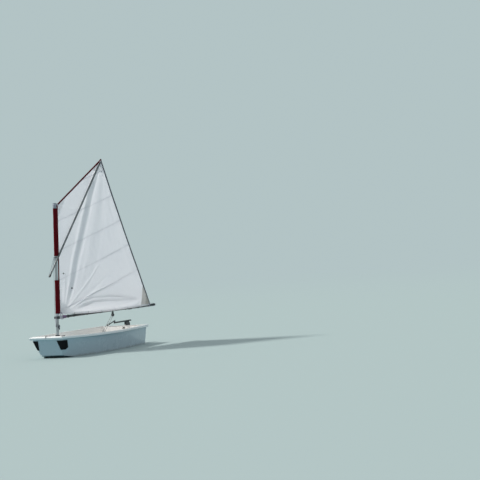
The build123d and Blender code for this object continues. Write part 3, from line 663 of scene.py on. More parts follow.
def hull_finish(name, outside, inside, soiled):
    """Gloss gelcoat, with the colour given for outward faces (on the hull a painted shade of its white),
    soiled at the waterline, and duller and warmer inside the boat.
    """
    made, tree, shader, place = start_finish(name)
    where = wire(tree, "ShaderNodeSeparateXYZ", {0: place}).outputs
    normal = wire(tree, "ShaderNodeNewGeometry").outputs["Normal"]
    facing = wire(tree, "ShaderNodeSeparateXYZ", {0: normal}).outputs
    inward = calc(tree, "MULTIPLY", where[1], facing[1])
    endward = calc(tree, "MULTIPLY", where[0], facing[0])
    inner = calc(tree, "LESS_THAN", calc(tree, "MINIMUM", inward, calc(tree, "ADD", endward, 0.05)), -0.02)
    upward = calc(tree, "GREATER_THAN", facing[2], 0.45)
    within = calc(tree, "MAXIMUM", inner, upward)
    # Outward faces take the outside colour, and faces inside or looking up take the inside colour: on the
    # hull this paints shade on the outer faces of one white gelcoat
    paint = blend_colours(tree, within, outside, inside)
    aged = use(tree, PATCHES, Vector=place, Base=paint, Shade=soiled, Scale=3.0, Amount=0.20)
    above_wet = calc(tree, "SUBTRACT", where[2], 0.028)
    line = calc(tree, "MULTIPLY_ADD", speckle(tree, place, 14.0, 6.0), 0.055, above_wet)
    wet = calc(tree, "MULTIPLY", ramp(tree, line, 0.045, -0.01), calc(tree, "SUBTRACT", 1.0, within))
    grimy = blend_colours(tree, calc(tree, "MULTIPLY", wet, 0.55), aged["Color"], (0.30, 0.31, 0.26))
    marks = use(tree, SCUFFS, Vector=place, Scale=26.0, Amount=0.07)
    final = blend_colours(tree, marks["Mask"], grimy, (0.42, 0.46, 0.48))
    worn = use(tree, WEAR, Vector=place, Radius=0.003, Amount=0.6)
    dull = calc(tree, "MULTIPLY_ADD", aged["Mask"], 0.12, calc(tree, "MULTIPLY_ADD", within, 0.16, 0.20))
    tread = wire(tree, "ShaderNodeTexVoronoi", {"Vector": place, "Scale": 170.0})
    treads = calc(tree, "MULTIPLY", upward, ramp(tree, tread.outputs[0], 0.6, 0.2))
    fair = bump(tree, speckle(tree, place, 3.0, 1.0), 0.0012, normal=worn["Normal"])
    set_shader(
        tree, shader, Base_Color=blend_colours(tree, worn["Mask"], final, (0.50, 0.51, 0.50)),
        Roughness=calc(tree, "ADD", dull, calc(tree, "MULTIPLY", marks["Mask"], 0.4)),
        Normal=bump(tree, treads, 0.0006, normal=fair), Coat_Weight=0.3, Coat_Roughness=0.12, IOR=1.49,
    )
    return made


def plastic_finish(name, colour, shade, rough, grain=0.0003, edge=None, coat=0.0, gloss=0.5):
    """Moulded plastic, rubber or paint with a fine grain and rubbed edges."""
    made, tree, shader, place = start_finish(name)
    aged = use(tree, PATCHES, Vector=place, Base=colour, Shade=shade, Scale=11.0, Amount=0.7)
    worn = use(tree, WEAR, Vector=place, Radius=0.0022, Amount=0.9)
    marks = use(tree, SCUFFS, Vector=place, Scale=70.0, Amount=0.5)
    rubbed = calc(tree, "MAXIMUM", worn["Mask"], marks["Mask"])
    lighter = edge or tuple(min(1.0, part * 1.6 + 0.05) for part in colour)
    skin = speckle(tree, place, 900.0, 3.0)
    set_shader(
        tree, shader, Base_Color=blend_colours(tree, rubbed, aged["Color"], lighter),
        Roughness=calc(tree, "MULTIPLY_ADD", aged["Mask"], 0.14, rough - 0.07),
        Normal=bump(tree, skin, grain, normal=worn["Normal"]), Coat_Weight=coat, Specular_IOR_Level=gloss,
    )
    return made


def metal_finish(name, colour, shade, rough, along):
    """Drawn or brushed metal, with its lines along a direction."""
    made, tree, shader, place = start_finish(name)
    turned = tuple(Vector((1, 0, 0)).rotation_difference(Vector(along)).to_euler())
    lined = wire(tree, "ShaderNodeMapping", {"Vector": place, "Rotation": turned}, vector_type="TEXTURE")
    lines = use(tree, STREAKS, Vector=lined.outputs[0], Scale=260.0)
    aged = use(tree, PATCHES, Vector=place, Base=colour, Shade=shade, Scale=7.0, Amount=0.6)
    worn = use(tree, WEAR, Vector=place, Radius=0.0015, Amount=0.7)
    bright = tuple(min(1.0, part * 1.25 + 0.10) for part in colour)
    dull = calc(tree, "MULTIPLY_ADD", aged["Mask"], 0.12, rough)
    uneven = bump(tree, aged["Mask"], 0.0004, normal=worn["Normal"])
    set_shader(
        tree, shader, Base_Color=blend_colours(tree, worn["Mask"], aged["Color"], bright), Metallic=1.0,
        Roughness=calc(tree, "MULTIPLY_ADD", lines["Mask"], 0.16, dull),
        Normal=bump(tree, lines["Mask"], 0.00008, normal=uneven),
    )
    return made


def cloth_finish(name, colour, shade, threads, rough=0.75, depth=0.0003, through=0.0, stitched=0.0,
                 stitch=None, patch_scale=5.0, patch_amount=0.5, sheen=0.12, gloss=0.25):
    """Woven cloth in the places of its own UV map, with stitches along a strip of the given width."""
    made, tree, shader, place = start_finish(name)
    flat = wire(tree, "ShaderNodeUVMap", uv_map="cloth").outputs[0]
    woven = use(tree, WEAVE, Vector=flat, Threads=threads)
    aged = use(tree, PATCHES, Vector=place, Base=colour, Shade=shade, Scale=patch_scale, Amount=patch_amount)
    darker = tuple(part * 0.72 for part in colour)
    # The gaps between threads are drawn darker: a painted shade in the weave's hollows
    dyed_with_gap_shade = blend_colours(tree, calc(tree, "MULTIPLY", woven["Gaps"], 0.35), aged["Color"], darker)
    height = woven["Height"]
    if stitched:
        sewn = use(tree, STITCHES, Vector=flat, Width=stitched)
        dyed_with_gap_shade = blend_colours(tree, calc(tree, "MULTIPLY", sewn["Mask"], 0.8), dyed_with_gap_shade, stitch or darker)
        height = calc(tree, "MULTIPLY_ADD", sewn["Mask"], 1.5, height)
    creased = bump(tree, speckle(tree, place, 55.0, 4.0, Distortion=0.6), 0.0016)
    normal = bump(tree, height, depth, normal=creased)
    set_shader(
        tree, shader, Base_Color=dyed_with_gap_shade, Normal=normal,
        Roughness=calc(tree, "MULTIPLY_ADD", woven["Height"], 0.08, rough - 0.04),
        Sheen_Weight=sheen, Sheen_Roughness=0.5, Specular_IOR_Level=gloss,
    )
    if through:
        glow = wire(tree, "ShaderNodeBsdfTranslucent", {"Color": dyed_with_gap_shade, "Normal": normal})
        mixed = wire(tree, "ShaderNodeMixShader", {0: through, 1: shader.outputs[0], 2: glow.outputs[0]})
        tree.links.new(mixed.outputs[0], tree.nodes["Material Output"].inputs["Surface"])
    return made


def rope_finish(name, colour, marker):
    """Laid rope, with one strand of another colour."""
    made, tree, shader, place = start_finish(name)
    run = wire(tree, "ShaderNodeUVMap", uv_map="cloth").outputs[0]
    laid = use(tree, BRAID, Vector=run)
    fuzz = speckle(tree, place, 700.0, 4.0)
    dull = tuple(part * 0.55 for part in colour)
    strand = blend_colours(tree, laid["Marker"], colour, marker)
    soiled = blend_colours(tree, calc(tree, "MULTIPLY", fuzz, 0.45), strand, dull)
    height = calc(tree, "MULTIPLY_ADD", fuzz, 0.3, laid["Height"])
    set_shader(
        tree, shader, Base_Color=soiled, Roughness=0.8, Normal=bump(tree, height, 0.0006), Sheen_Weight=0.2,
        Specular_IOR_Level=0.2,
    )
    return made


mast_along = RIG.to_3x3() @ Vector((0, 0, 1))
boom_start, boom_end = sorted(spar_ends("boom"), key=lambda end: -end.x)
sprit_low, sprit_high = sorted(spar_ends("sprit"), key=lambda end: end.z)
sprit_along = sprit_high - sprit_low

# Hull: name, colour outside, colour inside, colour of its soiled patches. The hull's colour outside is a
# painted shade of its white gelcoat, darker and bluer than inside
hull_white_shaded_outside = hull_finish("hull_gelcoat_shaded_outside", (0.58, 0.66, 0.70), (0.94, 0.92, 0.89), (0.50, 0.55, 0.57))
inner_white = hull_finish("inner_gelcoat", (0.94, 0.92, 0.89), (0.94, 0.92, 0.89), (0.62, 0.61, 0.58))

# Plastics, rubbers, paints and metals: name, colour, shade of its patches, roughness, way of a metal's lines
strake_white = plastic_finish("strake_gelcoat", (0.92, 0.92, 0.91), (0.84, 0.84, 0.83), 0.26, coat=0.3)
pad_rubber = plastic_finish("pad_rubber", (0.008, 0.008, 0.009), (0.016, 0.016, 0.017), 0.80, grain=0.0005,
                            edge=(0.030, 0.030, 0.032), gloss=0.12)
bare_steel = metal_finish("bare_steel", (0.62, 0.63, 0.64), (0.44, 0.44, 0.44), 0.22, (0, 0, 1))
board_white = plastic_finish("board_paint", (0.74, 0.76, 0.75), (0.60, 0.62, 0.60), 0.28, coat=0.3)
board_trim = plastic_finish("board_trim", (0.05, 0.05, 0.055), (0.09, 0.09, 0.09), 0.5)
silver_mast = metal_finish("mast_metal", (0.42, 0.44, 0.46), (0.32, 0.33, 0.35), 0.34, mast_along)
dark_boom = metal_finish("boom_metal", (0.10, 0.105, 0.11), (0.06, 0.063, 0.066), 0.36, boom_end - boom_start)
# The sprit is the same silver metal as the mast; its darker grey colour is a painted shade
sprit_painted_shade = metal_finish("sprit_metal_painted_shade", (0.23, 0.24, 0.25), (0.15, 0.155, 0.16), 0.46, sprit_along)
dark_tiller = metal_finish("tiller_metal", (0.10, 0.105, 0.11), (0.06, 0.06, 0.065), 0.36, (1, 0, 0))
grey_plastic = plastic_finish("head_cap_plastic", (0.30, 0.32, 0.36), (0.22, 0.23, 0.26), 0.48)
black_plastic = plastic_finish("fitting_plastic", (0.022, 0.022, 0.025), (0.045, 0.045, 0.048), 0.42)
grip_rubber = plastic_finish("grip_rubber", (0.02, 0.02, 0.022), (0.04, 0.04, 0.042), 0.8, grain=0.0008)
eyelet_metal = metal_finish("eyelet_metal", (0.60, 0.61, 0.60), (0.42, 0.43, 0.40), 0.25, (0, 1, 0))

# Cloths: name, colour, shade of its patches, threads to the metre
sail_cloth = cloth_finish("sail_cloth", (0.935, 0.923, 0.948), (0.885, 0.878, 0.912), 700.0, rough=0.55,
                          through=0.72, patch_scale=2.2, patch_amount=0.25)
seam_cloth = cloth_finish("seam_cloth", (0.89, 0.88, 0.90), (0.85, 0.84, 0.86), 700.0, rough=0.55,
                          through=0.85, stitched=seam_width, stitch=(0.74, 0.76, 0.78))
patch_cloth = cloth_finish("patch_cloth", (0.93, 0.935, 0.94), (0.89, 0.90, 0.91), 700.0, rough=0.55,
                           through=0.88)
clew_cloth = cloth_finish("clew_cloth", (0.87, 0.845, 0.81), (0.80, 0.775, 0.735), 700.0, rough=0.55,
                          through=0.70)
leech_cloth = cloth_finish("leech_tape", (0.13, 0.125, 0.145), (0.09, 0.085, 0.10), 900.0,
                           stitched=leech_tape_width, stitch=(0.42, 0.43, 0.46))
foot_cloth = cloth_finish("foot_tape", (0.93, 0.935, 0.94), (0.89, 0.90, 0.91), 900.0, through=0.85,
                          stitched=foot_tape_width, stitch=(0.80, 0.82, 0.84))
maroon_cloth = cloth_finish("maroon_cloth", (0.115, 0.004, 0.008), (0.080, 0.003, 0.006), 800.0, rough=0.9,
                            sheen=0.02, gloss=0.06)
maroon_tape = cloth_finish("maroon_tape", (0.130, 0.007, 0.012), (0.095, 0.006, 0.009), 900.0, sheen=0.02,
                           gloss=0.10, stitched=head_tape_width, stitch=(0.20, 0.03, 0.04))
bag_cloth = cloth_finish("bag_cloth", (0.74, 0.73, 0.68), (0.60, 0.59, 0.54), 1100.0, rough=0.45,
                         depth=0.0002)
black_webbing = cloth_finish("black_webbing", (0.022, 0.022, 0.025), (0.040, 0.040, 0.043), 420.0, rough=0.85,
                             depth=0.0006, stitched=bag_strap_width, stitch=(0.10, 0.10, 0.11))

# Ropes: name, colour, colour of the marker strand
sheet_rope = rope_finish("sheet_rope", (0.50, 0.53, 0.52), (0.10, 0.16, 0.22))
white_rope = rope_finish("white_rope", (0.72, 0.73, 0.74), (0.30, 0.18, 0.42))
blue_rope = rope_finish("blue_rope", (0.16, 0.19, 0.24), (0.34, 0.38, 0.44))
purple_rope = rope_finish("purple_rope", (0.22, 0.13, 0.24), (0.42, 0.36, 0.46))
green_rope = rope_finish("green_rope", (0.22, 0.33, 0.27), (0.50, 0.55, 0.45))
dark_rope = rope_finish("dark_rope", (0.035, 0.035, 0.045), (0.09, 0.09, 0.11))

FINISHES = {
    hull_white_shaded_outside: ["hull_bottom", "hull_side_port", "hull_side_starboard", "bow_transom", "stern_transom"],
    inner_white: ["mast_thwart", "mast_step", "midship_thwart", "daggerboard_case"],
    strake_white: ["strake_port", "strake_starboard", "bow_rail", "stern_rail"],
    pad_rubber: ["bow_corner_pads"],
    bare_steel: ["painter_eye", "gudgeons", "pintles"],
    board_white: ["daggerboard", "rudder_blade"],
    board_trim: ["daggerboard_stops", "rudder_cheeks"],
    dark_tiller: ["tiller", "tiller_extension"],
    grip_rubber: ["extension_grip"],
    silver_mast: ["mast"],
    grey_plastic: ["mast_head_cap"],
    dark_boom: ["boom"],
    sprit_painted_shade: ["sprit"],
    black_plastic: ["extension_swivel", "boom_jaw", "boom_end_cap", "boom_strop", "sprit_caps",
                    "mast_fittings", "boom_fittings", "boom_block", "floor_block"],
}
for material, names in FINISHES.items():
    for name in names:
        nodes[name].data.materials.clear()
        nodes[name].data.materials.append(material)


def sail_corners():
    """Return the sail's tack, throat, clew and peak in the rig's frame."""
    points = in_rig("sail")
    x, z = points[:, 0], points[:, 2]
    corners = []
    for measure in (-z - 3 * x, z - 3 * x, x - z / 3, z + 0.3 * x):
        near = points[measure > measure.max() - end_slice]
        corners.append(Vector(near.mean(axis=0)))
    return corners


tack, throat, clew, peak = sail_corners()
CORNERS = {"tack": tack, "throat": throat, "clew": clew, "peak": peak}


def sail_grid_point(across, up):
    """Return a point of the sail's mean surface from its shares across and up."""
    shares, bellies, hollows = zip(*SAIL_SECTIONS)
    belly = np.polyval(np.polyfit(shares, bellies, 4), up)
    hollow = np.polyval(np.polyfit(shares, hollows, 4), up)
    luff = tack.lerp(throat, up)
    leech = clew.lerp(peak, up)
    leech -= (leech - luff).normalized() * hollow
    place = luff.lerp(leech, across)
    place.y -= belly * 4 * across * (1 - across)
    slack = foot_droop * 4 * across * (1 - across) * (1.35 - 0.7 * across) + clew_droop * across ** 2
    place.z -= slack * max(0.0, 1 - up / foot_droop_reach) ** 2
    return place


def fold_depth(x, z, route, width, depth):
    """Return how far a fold moves the points at x and z, with its ends faded out."""
    total = sum(math.dist(a, b) for a, b in zip(route, route[1:]))
    nearest = np.full(len(x), np.inf)
    reached = np.zeros(len(x))
    run = 0.0
    for (ax, az), (bx, bz) in zip(route, route[1:]):
        length = math.dist((ax, az), (bx, bz))
        share = np.clip(((x - ax) * (bx - ax) + (z - az) * (bz - az)) / length ** 2, 0, 1)
        away = np.hypot(x - ax - share * (bx - ax), z - az - share * (bz - az))
        closer = away < nearest
        nearest[closer] = away[closer]
        reached[closer] = ((run + share * length) / total)[closer]
        run += length
    spread = width * (0.45 + 1.1 * np.sin(np.pi * reached))
    fade = np.clip(np.sin(np.pi * reached) * 2.2, 0.15, 1)
    return depth * fade * np.exp(-(nearest / spread) ** 2)


def tie_places():
    """Return the x of each tie along the foot of the sail."""
    count = round((clew.x - tack.x) / tie_spacing)
    return [tack.x + (clew.x - tack.x) * i / count for i in range(1, count)]


def foot_height(x):
    """Return the height of the sail's foot at a distance x aft of the mast."""
    return sail_grid_point((x - tack.x) / (clew.x - tack.x), 0.0).z


def make_sail():
    """The sail with its folds. Return its piece, its surface in the rig's frame and its area."""
    rows, columns = sail_rows, sail_columns
    grid = [sail_grid_point(j / columns, i / rows) for i in range(rows + 1) for j in range(columns + 1)]
    points = np.array(grid)
    x, z = points[:, 0].copy(), points[:, 2].copy()
    for route, width, depth in SAIL_FOLDS:
        points[:, 1] -= fold_depth(x, z, route, width, depth)
    for place in tie_places():
        away = np.hypot((x - place) * 2.6, z - foot_height(place))
        points[:, 1] -= tie_pull * np.exp(-(away / tie_pull_reach) ** 2)
    for i, (px, pz) in enumerate(zip(x, z)):
        slow = noise.noise(Vector((px * 3.1 + pz * 1.1, pz * 2.3 - px * 1.4, 1.0)))
        crinkle = noise.noise(Vector((px * 14 + pz * 5, pz * 9 - px * 6, 7.0)))
        points[i, 1] += sail_waves * slow + sail_crinkles * crinkle
    width = columns + 1
    faces = [
        (i * width + j, i * width + j + 1, (i + 1) * width + j + 1, (i + 1) * width + j)
        for i in range(rows) for j in range(columns)
    ]
    surface = BVHTree.FromPolygons([Vector(point) for point in points], faces)
    placed = [RIG @ Vector(point) for point in points]
    piece = make_piece("sail_cloth", placed, faces, sail_cloth, np.stack([x, z], axis=1))
    area = sum(face.area for face in piece.data.polygons)
    thick = piece.modifiers.new("ply", "SOLIDIFY")
    thick.thickness = sail_ply
    thick.offset = 0
    fit(piece, "rig", "sail")
    return piece, surface, area


sail, sail_surface, sail_area = make_sail()


def sail_depth(x, z):
    """Return the sail's y at a place, and whether the sail is there."""
    hit = sail_surface.ray_cast(Vector((x, -1, z)), Vector((0, 1, 0)))
    if hit[0] is not None:
        return hit[0].y, True
    return sail_surface.find_nearest(Vector((x, 0, z)))[0].y, False


def sail_band(name, path, width, lift, material):
    """Sew a strip of cloth along a path on both faces of the sail."""
    path = smooth_route([Vector((x, 0, z)) for x, z in path], band_step)
    places, spread = [], []
    run = 0.0
    for i, place in enumerate(path):
        if i:
            run += (place - path[i - 1]).length
        along = (path[min(i + 1, len(path) - 1)] - path[max(i - 1, 0)]).normalized()
        side = Vector((-along.z, 0, along.x)) * width / 2
        ends = []
        for sign in (-1, 1):
            edge = place + side * sign
            ends.append((edge.x, sail_depth(edge.x, edge.z)[0], edge.z))
        for (x, y, z), rise, across in zip(ends + ends[::-1], (-lift, -lift, lift, lift), (-1, 1, 1, -1)):
            places.append(rig_point(x, y + rise, z))
            spread.append((run, across * width / 2))
    piece = make_piece(name, places, band_faces(len(path), 4), material, spread)
    fit(piece, "rig")
    return piece


def sail_patch(name, corners, lift, material):
    """Sew a three-cornered patch on both faces of the sail."""
    a, b, c = [Vector(corner) for corner in corners]
    count = patch_rows
    places, spread, faces, index = [], [], [], {}
    for face_side in (-1, 1):
        for i in range(count + 1):
            for j in range(count + 1 - i):
                flat = a + (b - a) * i / count + (c - a) * j / count
                index[face_side, i, j] = len(places)
                places.append(rig_point(flat.x, sail_depth(flat.x, flat.y)[0] + face_side * lift, flat.y))
                spread.append(tuple(flat))
        for i in range(count):
            for j in range(count - i):
                triangles = [((i, j), (i + 1, j), (i, j + 1))]
                if i + j < count - 1:
                    triangles.append(((i + 1, j), (i + 1, j + 1), (i, j + 1)))
                faces += [tuple(index[face_side, p, q] for p, q in triangle) for triangle in triangles]
    steps = range(count)
    rim = [(i, 0) for i in steps] + [(count - i, i) for i in steps] + [(0, count - i) for i in steps]
    for (p, q), (r, s) in zip(rim, rim[1:] + rim[:1]):
        faces.append((index[-1, p, q], index[-1, r, s], index[1, r, s], index[1, p, q]))
    piece = make_piece(name, places, faces, material, spread)
    fit(piece, "rig")
    return piece


def sew_seams():
    """The seams between the panels of the sail, which rise aft."""
    slope = math.radians(seam_slope)
    made = []
    for i, station in enumerate(SEAM_STATIONS):
        path = []
        for k in range(200):
            x = tack.x + seam_start + seam_step * k
            z = (station + x * math.sin(slope)) / math.cos(slope)
            if sail_depth(x, z)[1]:
                path.append((x, z))
        made.append(sail_band(f"sail_seam_{i + 1}", path[::6] + path[-1:], seam_width, seam_lift, seam_cloth))
    return made


def sew_tapes():
    """The tapes of the leech, head and foot, each a little inside its edge."""
    leech = [sail_grid_point(1.0, i / 24) for i in range(25)]
    head = [sail_grid_point(i / 12, 1.0) for i in range(13)]
    foot = [sail_grid_point(i / 24, 0.0) for i in range(25)]
    made = []
    for name, route, inward, width, lift, material in (
        ("leech", leech, leech_inward, leech_tape_width, tape_lift, leech_cloth),
        ("head", head, head_inward, head_tape_width, head_tape_lift, maroon_tape),
        ("foot", foot, foot_inward, foot_tape_width, tape_lift, foot_cloth),
    ):
        places = [place + Vector(inward) * width * tape_inset for place in route]
        path = [(place.x, place.z) for place in places]
        made.append(sail_band(f"sail_{name}_tape", path, width, lift, material))
    return made


def sew_patches():
    """The patches at the sail's corners, large ones and the small ones over them."""
    made = []
    for name, offsets in SAIL_PATCHES.items():
        corner = CORNERS[name.split("_")[0]]
        corners = [(corner.x + x, corner.z + z) for x, z in offsets]
        lift = small_patch_lift if "small" in name else patch_lift
        cloth = clew_cloth if "clew" in name else patch_cloth
        made.append(sail_patch("sail_patch_" + name, corners, lift, cloth))
    return made


sail_trim = sew_seams() + sew_tapes() + sew_patches()


def eyelet(name, place, radius):
    """Press a metal ring through the cloth."""
    across = Vector((0, 1, 0))
    ring = turns_round(place, across, radius, 1, count=20)[:-1]
    places = []
    for point in ring:
        out = (point - place).normalized()
        for k in range(8):
            turn = 2 * math.pi * k / 8
            rim = out * eyelet_rim_out * math.cos(turn) + across * eyelet_rim_across * math.sin(turn)
            places.append(RIG @ (point + rim))
    return make_piece(name, places, band_faces(len(ring), 8, closed=True), eyelet_metal)


def add_eyelets():
    """Eyelets at the sail's corners and at each tie of its foot. Return their places as (x, z)."""
    spots = [(CORNERS[name].x + x, CORNERS[name].z + z) for name, (x, z) in CORNER_EYELETS.items()]
    spots += [(x, foot_height(x) + tie_eyelet_above_foot) for x in tie_places()]
    rings = []
    for i, (x, z) in enumerate(spots):
        radius = eyelet_radius if i < len(CORNERS) else tie_eyelet_radius
        rings.append(eyelet(f"eyelet_{i}", Vector((x, sail_depth(x, z)[0], z)), radius))
    fit(join("sail_eyelets", rings), "rig")
    return spots


eyelet_spots = add_eyelets()


def add_wind_threads():
    """A round sticker on both faces of the sail with a short dark thread, at each place."""
    made = []
    for x, z in THREAD_PLACES:
        y = sail_depth(x, z)[0]
        rim = turns_round(Vector((x, y, z)), Vector((0, 1, 0)), sticker_radius, 1, count=24)[:-1]
        places = []
        for rise, share in STICKER_RINGS:
            for point in rim:
                place = Vector((x, 0, z)).lerp(Vector((point.x, 0, point.z)), share)
                places.append(rig_point(place.x, sail_depth(place.x, place.z)[0] + rise, place.z))
        made.append(make_piece("sticker", places, band_faces(len(STICKER_RINGS), len(rim)), dark_rope))
        for side in (-1, 1):
            thread = [rig_point(x + aft, y + out * side, z + rise) for aft, out, rise in THREAD_ROUTE]
            made.append(rope("thread", thread, thread_radius, dark_rope, step=thread_step))
    fit(join("wind_threads", made), "rig")


add_wind_threads()


def sleeve_outline(radius, tail, thick):
    """Return a sleeve's outline as (x, y, share of the flank): round the mast, then flat to its tail."""
    touch = math.radians(sleeve_leaves_mast_at)
    outline = []
    for j in range(41):
        angle = touch + (2 * math.pi - 2 * touch) * j / 40
        outline.append((radius * math.cos(angle), radius * math.sin(angle), 0.0))
    flank = [(k + 1) / 9 for k in range(9)]
    for side, shares in ((-1, flank), (1, flank[::-1])):
        x, y = radius * math.cos(touch), side * radius * math.sin(touch)
        for share in shares:
            outline.append((x + (tail - x) * share, y + (side * thick - y) * share, share))
    return outline


def make_sleeve(node):
    """A sleeve of cloth round the mast, with hems and creases. Return the heights of its ends."""
    points = in_rig(node)
    low, high = points[:, 2].min(), points[:, 2].max()
    tail = points[:, 0].max()
    inner_radius = np.hypot(points[:, 0], points[:, 1]).min() + sleeve_clearance
    rows = max(40, round((high - low) / sleeve_row))
    skins = [sleeve_outline(inner_radius + sleeve_ply, tail, sleeve_tail_half),
             sleeve_outline(inner_radius, tail - sleeve_tail_hem, sleeve_tail_half_inside)]
    around = len(skins[0])
    places, spread = [], []
    for outline, outer in zip(skins, (1, 0)):
        for i in range(rows + 1):
            z = low + (high - low) * i / rows
            from_end = min(z - low, high - z)
            hem = sleeve_hem_lift if from_end < sleeve_hem else 0.0
            gather = math.exp(-(from_end / sleeve_gather_reach) ** 2)
            run = 0.0
            for j, (x, y, flat) in enumerate(outline):
                run += math.dist((x, y), outline[j - 1][:2]) if j else 0.0
                out = Vector((0, math.copysign(1, y), 0)) if flat else Vector((x, y, 0)).normalized()
                angle = math.atan2(y, x)
                spot = Vector((math.cos(angle) * 2.4 + z * 6, math.sin(angle) * 2.4 - z * 3, z * 15))
                pleat = math.sin(angle * 9 + z * 11) * gather
                crease = sleeve_wrinkles * noise.noise(spot) + sleeve_pleats * pleat + sleeve_fullness
                lift = hem + max(0.0, crease) * (1 - 0.6 * flat)
                places.append(RIG @ (Vector((x, y, z)) + out * lift * outer))
                spread.append((z, run))
    ring = (rows + 1) * around
    faces = band_faces(rows + 1, around, capped=False)
    faces += [tuple(index + ring for index in face) for face in faces]
    for row in (0, rows):
        for j in range(around):
            here, there = row * around + j, row * around + (j + 1) % around
            faces.append((here, there, ring + there, ring + here))
    fit(make_piece(node + "_cloth", places, faces, maroon_cloth, spread), "rig", node)
    return low, high


lower_high = make_sleeve("luff_sleeve_lower")[1]
upper_low, upper_high = make_sleeve("luff_sleeve_upper")


def make_luff_strip():
    """The doubled strip of cloth that carries the luff where the sleeve is open."""
    points = in_rig("luff_strip")
    front, back = points[:, 0].min(), points[:, 0].max()
    middle = (upper_low + lower_high) / 2
    parts = []
    for group in (points[np.abs(points[:, 2] - middle) < (upper_low - lower_high) / 2 + 0.01],
                  points[points[:, 2] > upper_high - 0.01]):
        low, high = group[:, 2].min(), group[:, 2].max()
        rows = max(6, round((high - low) / strip_row))
        places, spread = [], []
        for i in range(rows + 1):
            z = low + (high - low) * i / rows
            wave = strip_wave * noise.noise(Vector((3.0, z * 20, 0)))
            ends = abs(2 * i / rows - 1)
            edge = front + strip_slack * (1 - ends ** 4)
            outline = [(edge + behind, -half) for behind, half in STRIP_SECTION] + [(back, -strip_back_half)]
            for x, y in outline + [(x, -y) for x, y in outline[::-1]]:
                places.append(rig_point(x, y + wave, z))
                spread.append((z, x - (front + back) / 2))
        parts.append(make_piece("strip", places, band_faces(rows + 1, 6), maroon_tape, spread))
    fit(join("luff_strip_cloth", parts), "rig", "luff_strip")


make_luff_strip()


def bag_radius(station, turn, reach, groove, spot):
    """Return a bag's radius at a place from -1 to 1 along it, inside the reach of its solid."""
    end = abs(station)
    full = (1 - end ** 5) ** 0.5
    flat = (math.cos(turn) ** 2 * (0.35 + 0.65 * full) + math.sin(turn) ** 2 * (0.06 + 0.94 * full))
    pucker = math.sin(turn * 11) * bag_pucker * max(0.0, end - 0.55) * (1 - end ** 8)
    dimple = min(0.0, bag_dimple * noise.noise(spot))
    radius = reach * flat * 0.985 - bag_side_gap + pucker + dimple - bag_groove * groove
    return max(bag_least_radius, min(radius, reach - bag_least_gap - bag_groove * groove))


def bag_strap(middle, half, side, up, row, radii):
    """A webbing strap round a bag at one of its rows. Half is the way from the bag's middle to its end."""
    count = max(2, round(bag_strap_width / (2 * half.length / bag_rows)) // 2 * 2)
    places, spread = [], []
    for j in range(bag_sides):
        out = at_angle(side, up, 2 * math.pi * j / bag_sides)
        for edge, lift in ((-0.5, webbing_gap), (0.5, webbing_gap), (0.5, webbing_thickness),
                           (-0.5, webbing_thickness)):
            station = 2 * (row + edge * count * 0.96) / bag_rows - 1
            places.append(middle + half * station + out * (radii[row, j] + lift))
            spread.append((0.64 * j / bag_sides, bag_strap_width * edge))
    return make_piece("band", places, band_faces(bag_sides, 4, closed=True), black_webbing, spread)


def blown_bag(node, axis, straps):
    """A blown-up bag with pinched ends, kept inside its node, and held by webbing straps."""
    points = node_points(node)
    solid = node_surface(node)
    low, high = Vector(points.min(axis=0)), Vector(points.max(axis=0))
    middle = (low + high) / 2
    along, side = Vector((1, 0, 0)), Vector((0, 1, 0))
    if axis == "y":
        along, side = side, along
    up = Vector((0, 0, 1))
    length = (high - low).dot(along) - bag_end_gap
    half = along * length / 2
    groove_reach = bag_strap_width * bag_groove_share
    places, spread = [], []
    radii = {}
    for i in range(bag_rows + 1):
        share = i / bag_rows
        station = share * 2 - 1
        centre = middle + half * station
        groove = max(math.exp(-((share - strap) * length / groove_reach) ** 4) for strap in straps)
        for j in range(bag_sides):
            turn = 2 * math.pi * j / bag_sides
            out = at_angle(side, up, turn)
            hit = solid.ray_cast(centre, out)
            reach = hit[3] if hit[0] is not None else 0.02
            radii[i, j] = bag_radius(station, turn, reach, groove, centre * 9 + out * 1.3)
            places.append(centre + out * radii[i, j])
            spread.append((length * share, 2 * math.pi * 0.1 * j / bag_sides))
    bag = make_piece(node + "_cloth", places, band_faces(bag_rows + 1, bag_sides), bag_cloth, spread)
    fit(bag, "hull", node)
    bands = [bag_strap(middle, half, side, up, round(strap * bag_rows), radii) for strap in straps]
    fit(join(node + "_straps", bands), "hull")


blown_bag("buoyancy_bag_port", "x", [0.2, 0.5, 0.8])
blown_bag("buoyancy_bag_starboard", "x", [0.2, 0.5, 0.8])
blown_bag("buoyancy_bag_bow", "y", [0.28, 0.72])


def make_toe_straps():
    """Webbing straps that hang a little slack between the thwart and the stern."""
    points = node_points("toe_straps")
    back, front = points[:, 0].min(), points[:, 0].max()
    height = (points[:, 2].min() + points[:, 2].max()) / 2
    parts = []
    for side in (-1, 1):
        here = points[points[:, 1] * side > 0]
        middle = (here[:, 1].min() + here[:, 1].max()) / 2
        rows = 60
        places, spread = [], []
        for i in range(rows + 1):
            share = i / rows
            x = back + (front - back) * share
            sag = toe_strap_sag * 4 * share * (1 - share)
            lean = toe_strap_lean * math.sin(math.pi * share) * side
            for a, b in ((-0.5, -0.5), (0.0, -0.5), (0.5, -0.5), (0.5, 0.5), (0.0, 0.5), (-0.5, 0.5)):
                y = middle + a * toe_strap_width
                crown = toe_strap_crown * (1 - 4 * a * a)
                z = height - sag + b * webbing_thickness + a * toe_strap_width * lean + crown
                places.append((x, y, z))
                spread.append((x, a * toe_strap_width))
        parts.append(make_piece("strap", places, band_faces(rows + 1, 6), black_webbing, spread))
    fit(join("toe_straps_webbing", parts), "hull", "toe_straps")


make_toe_straps()


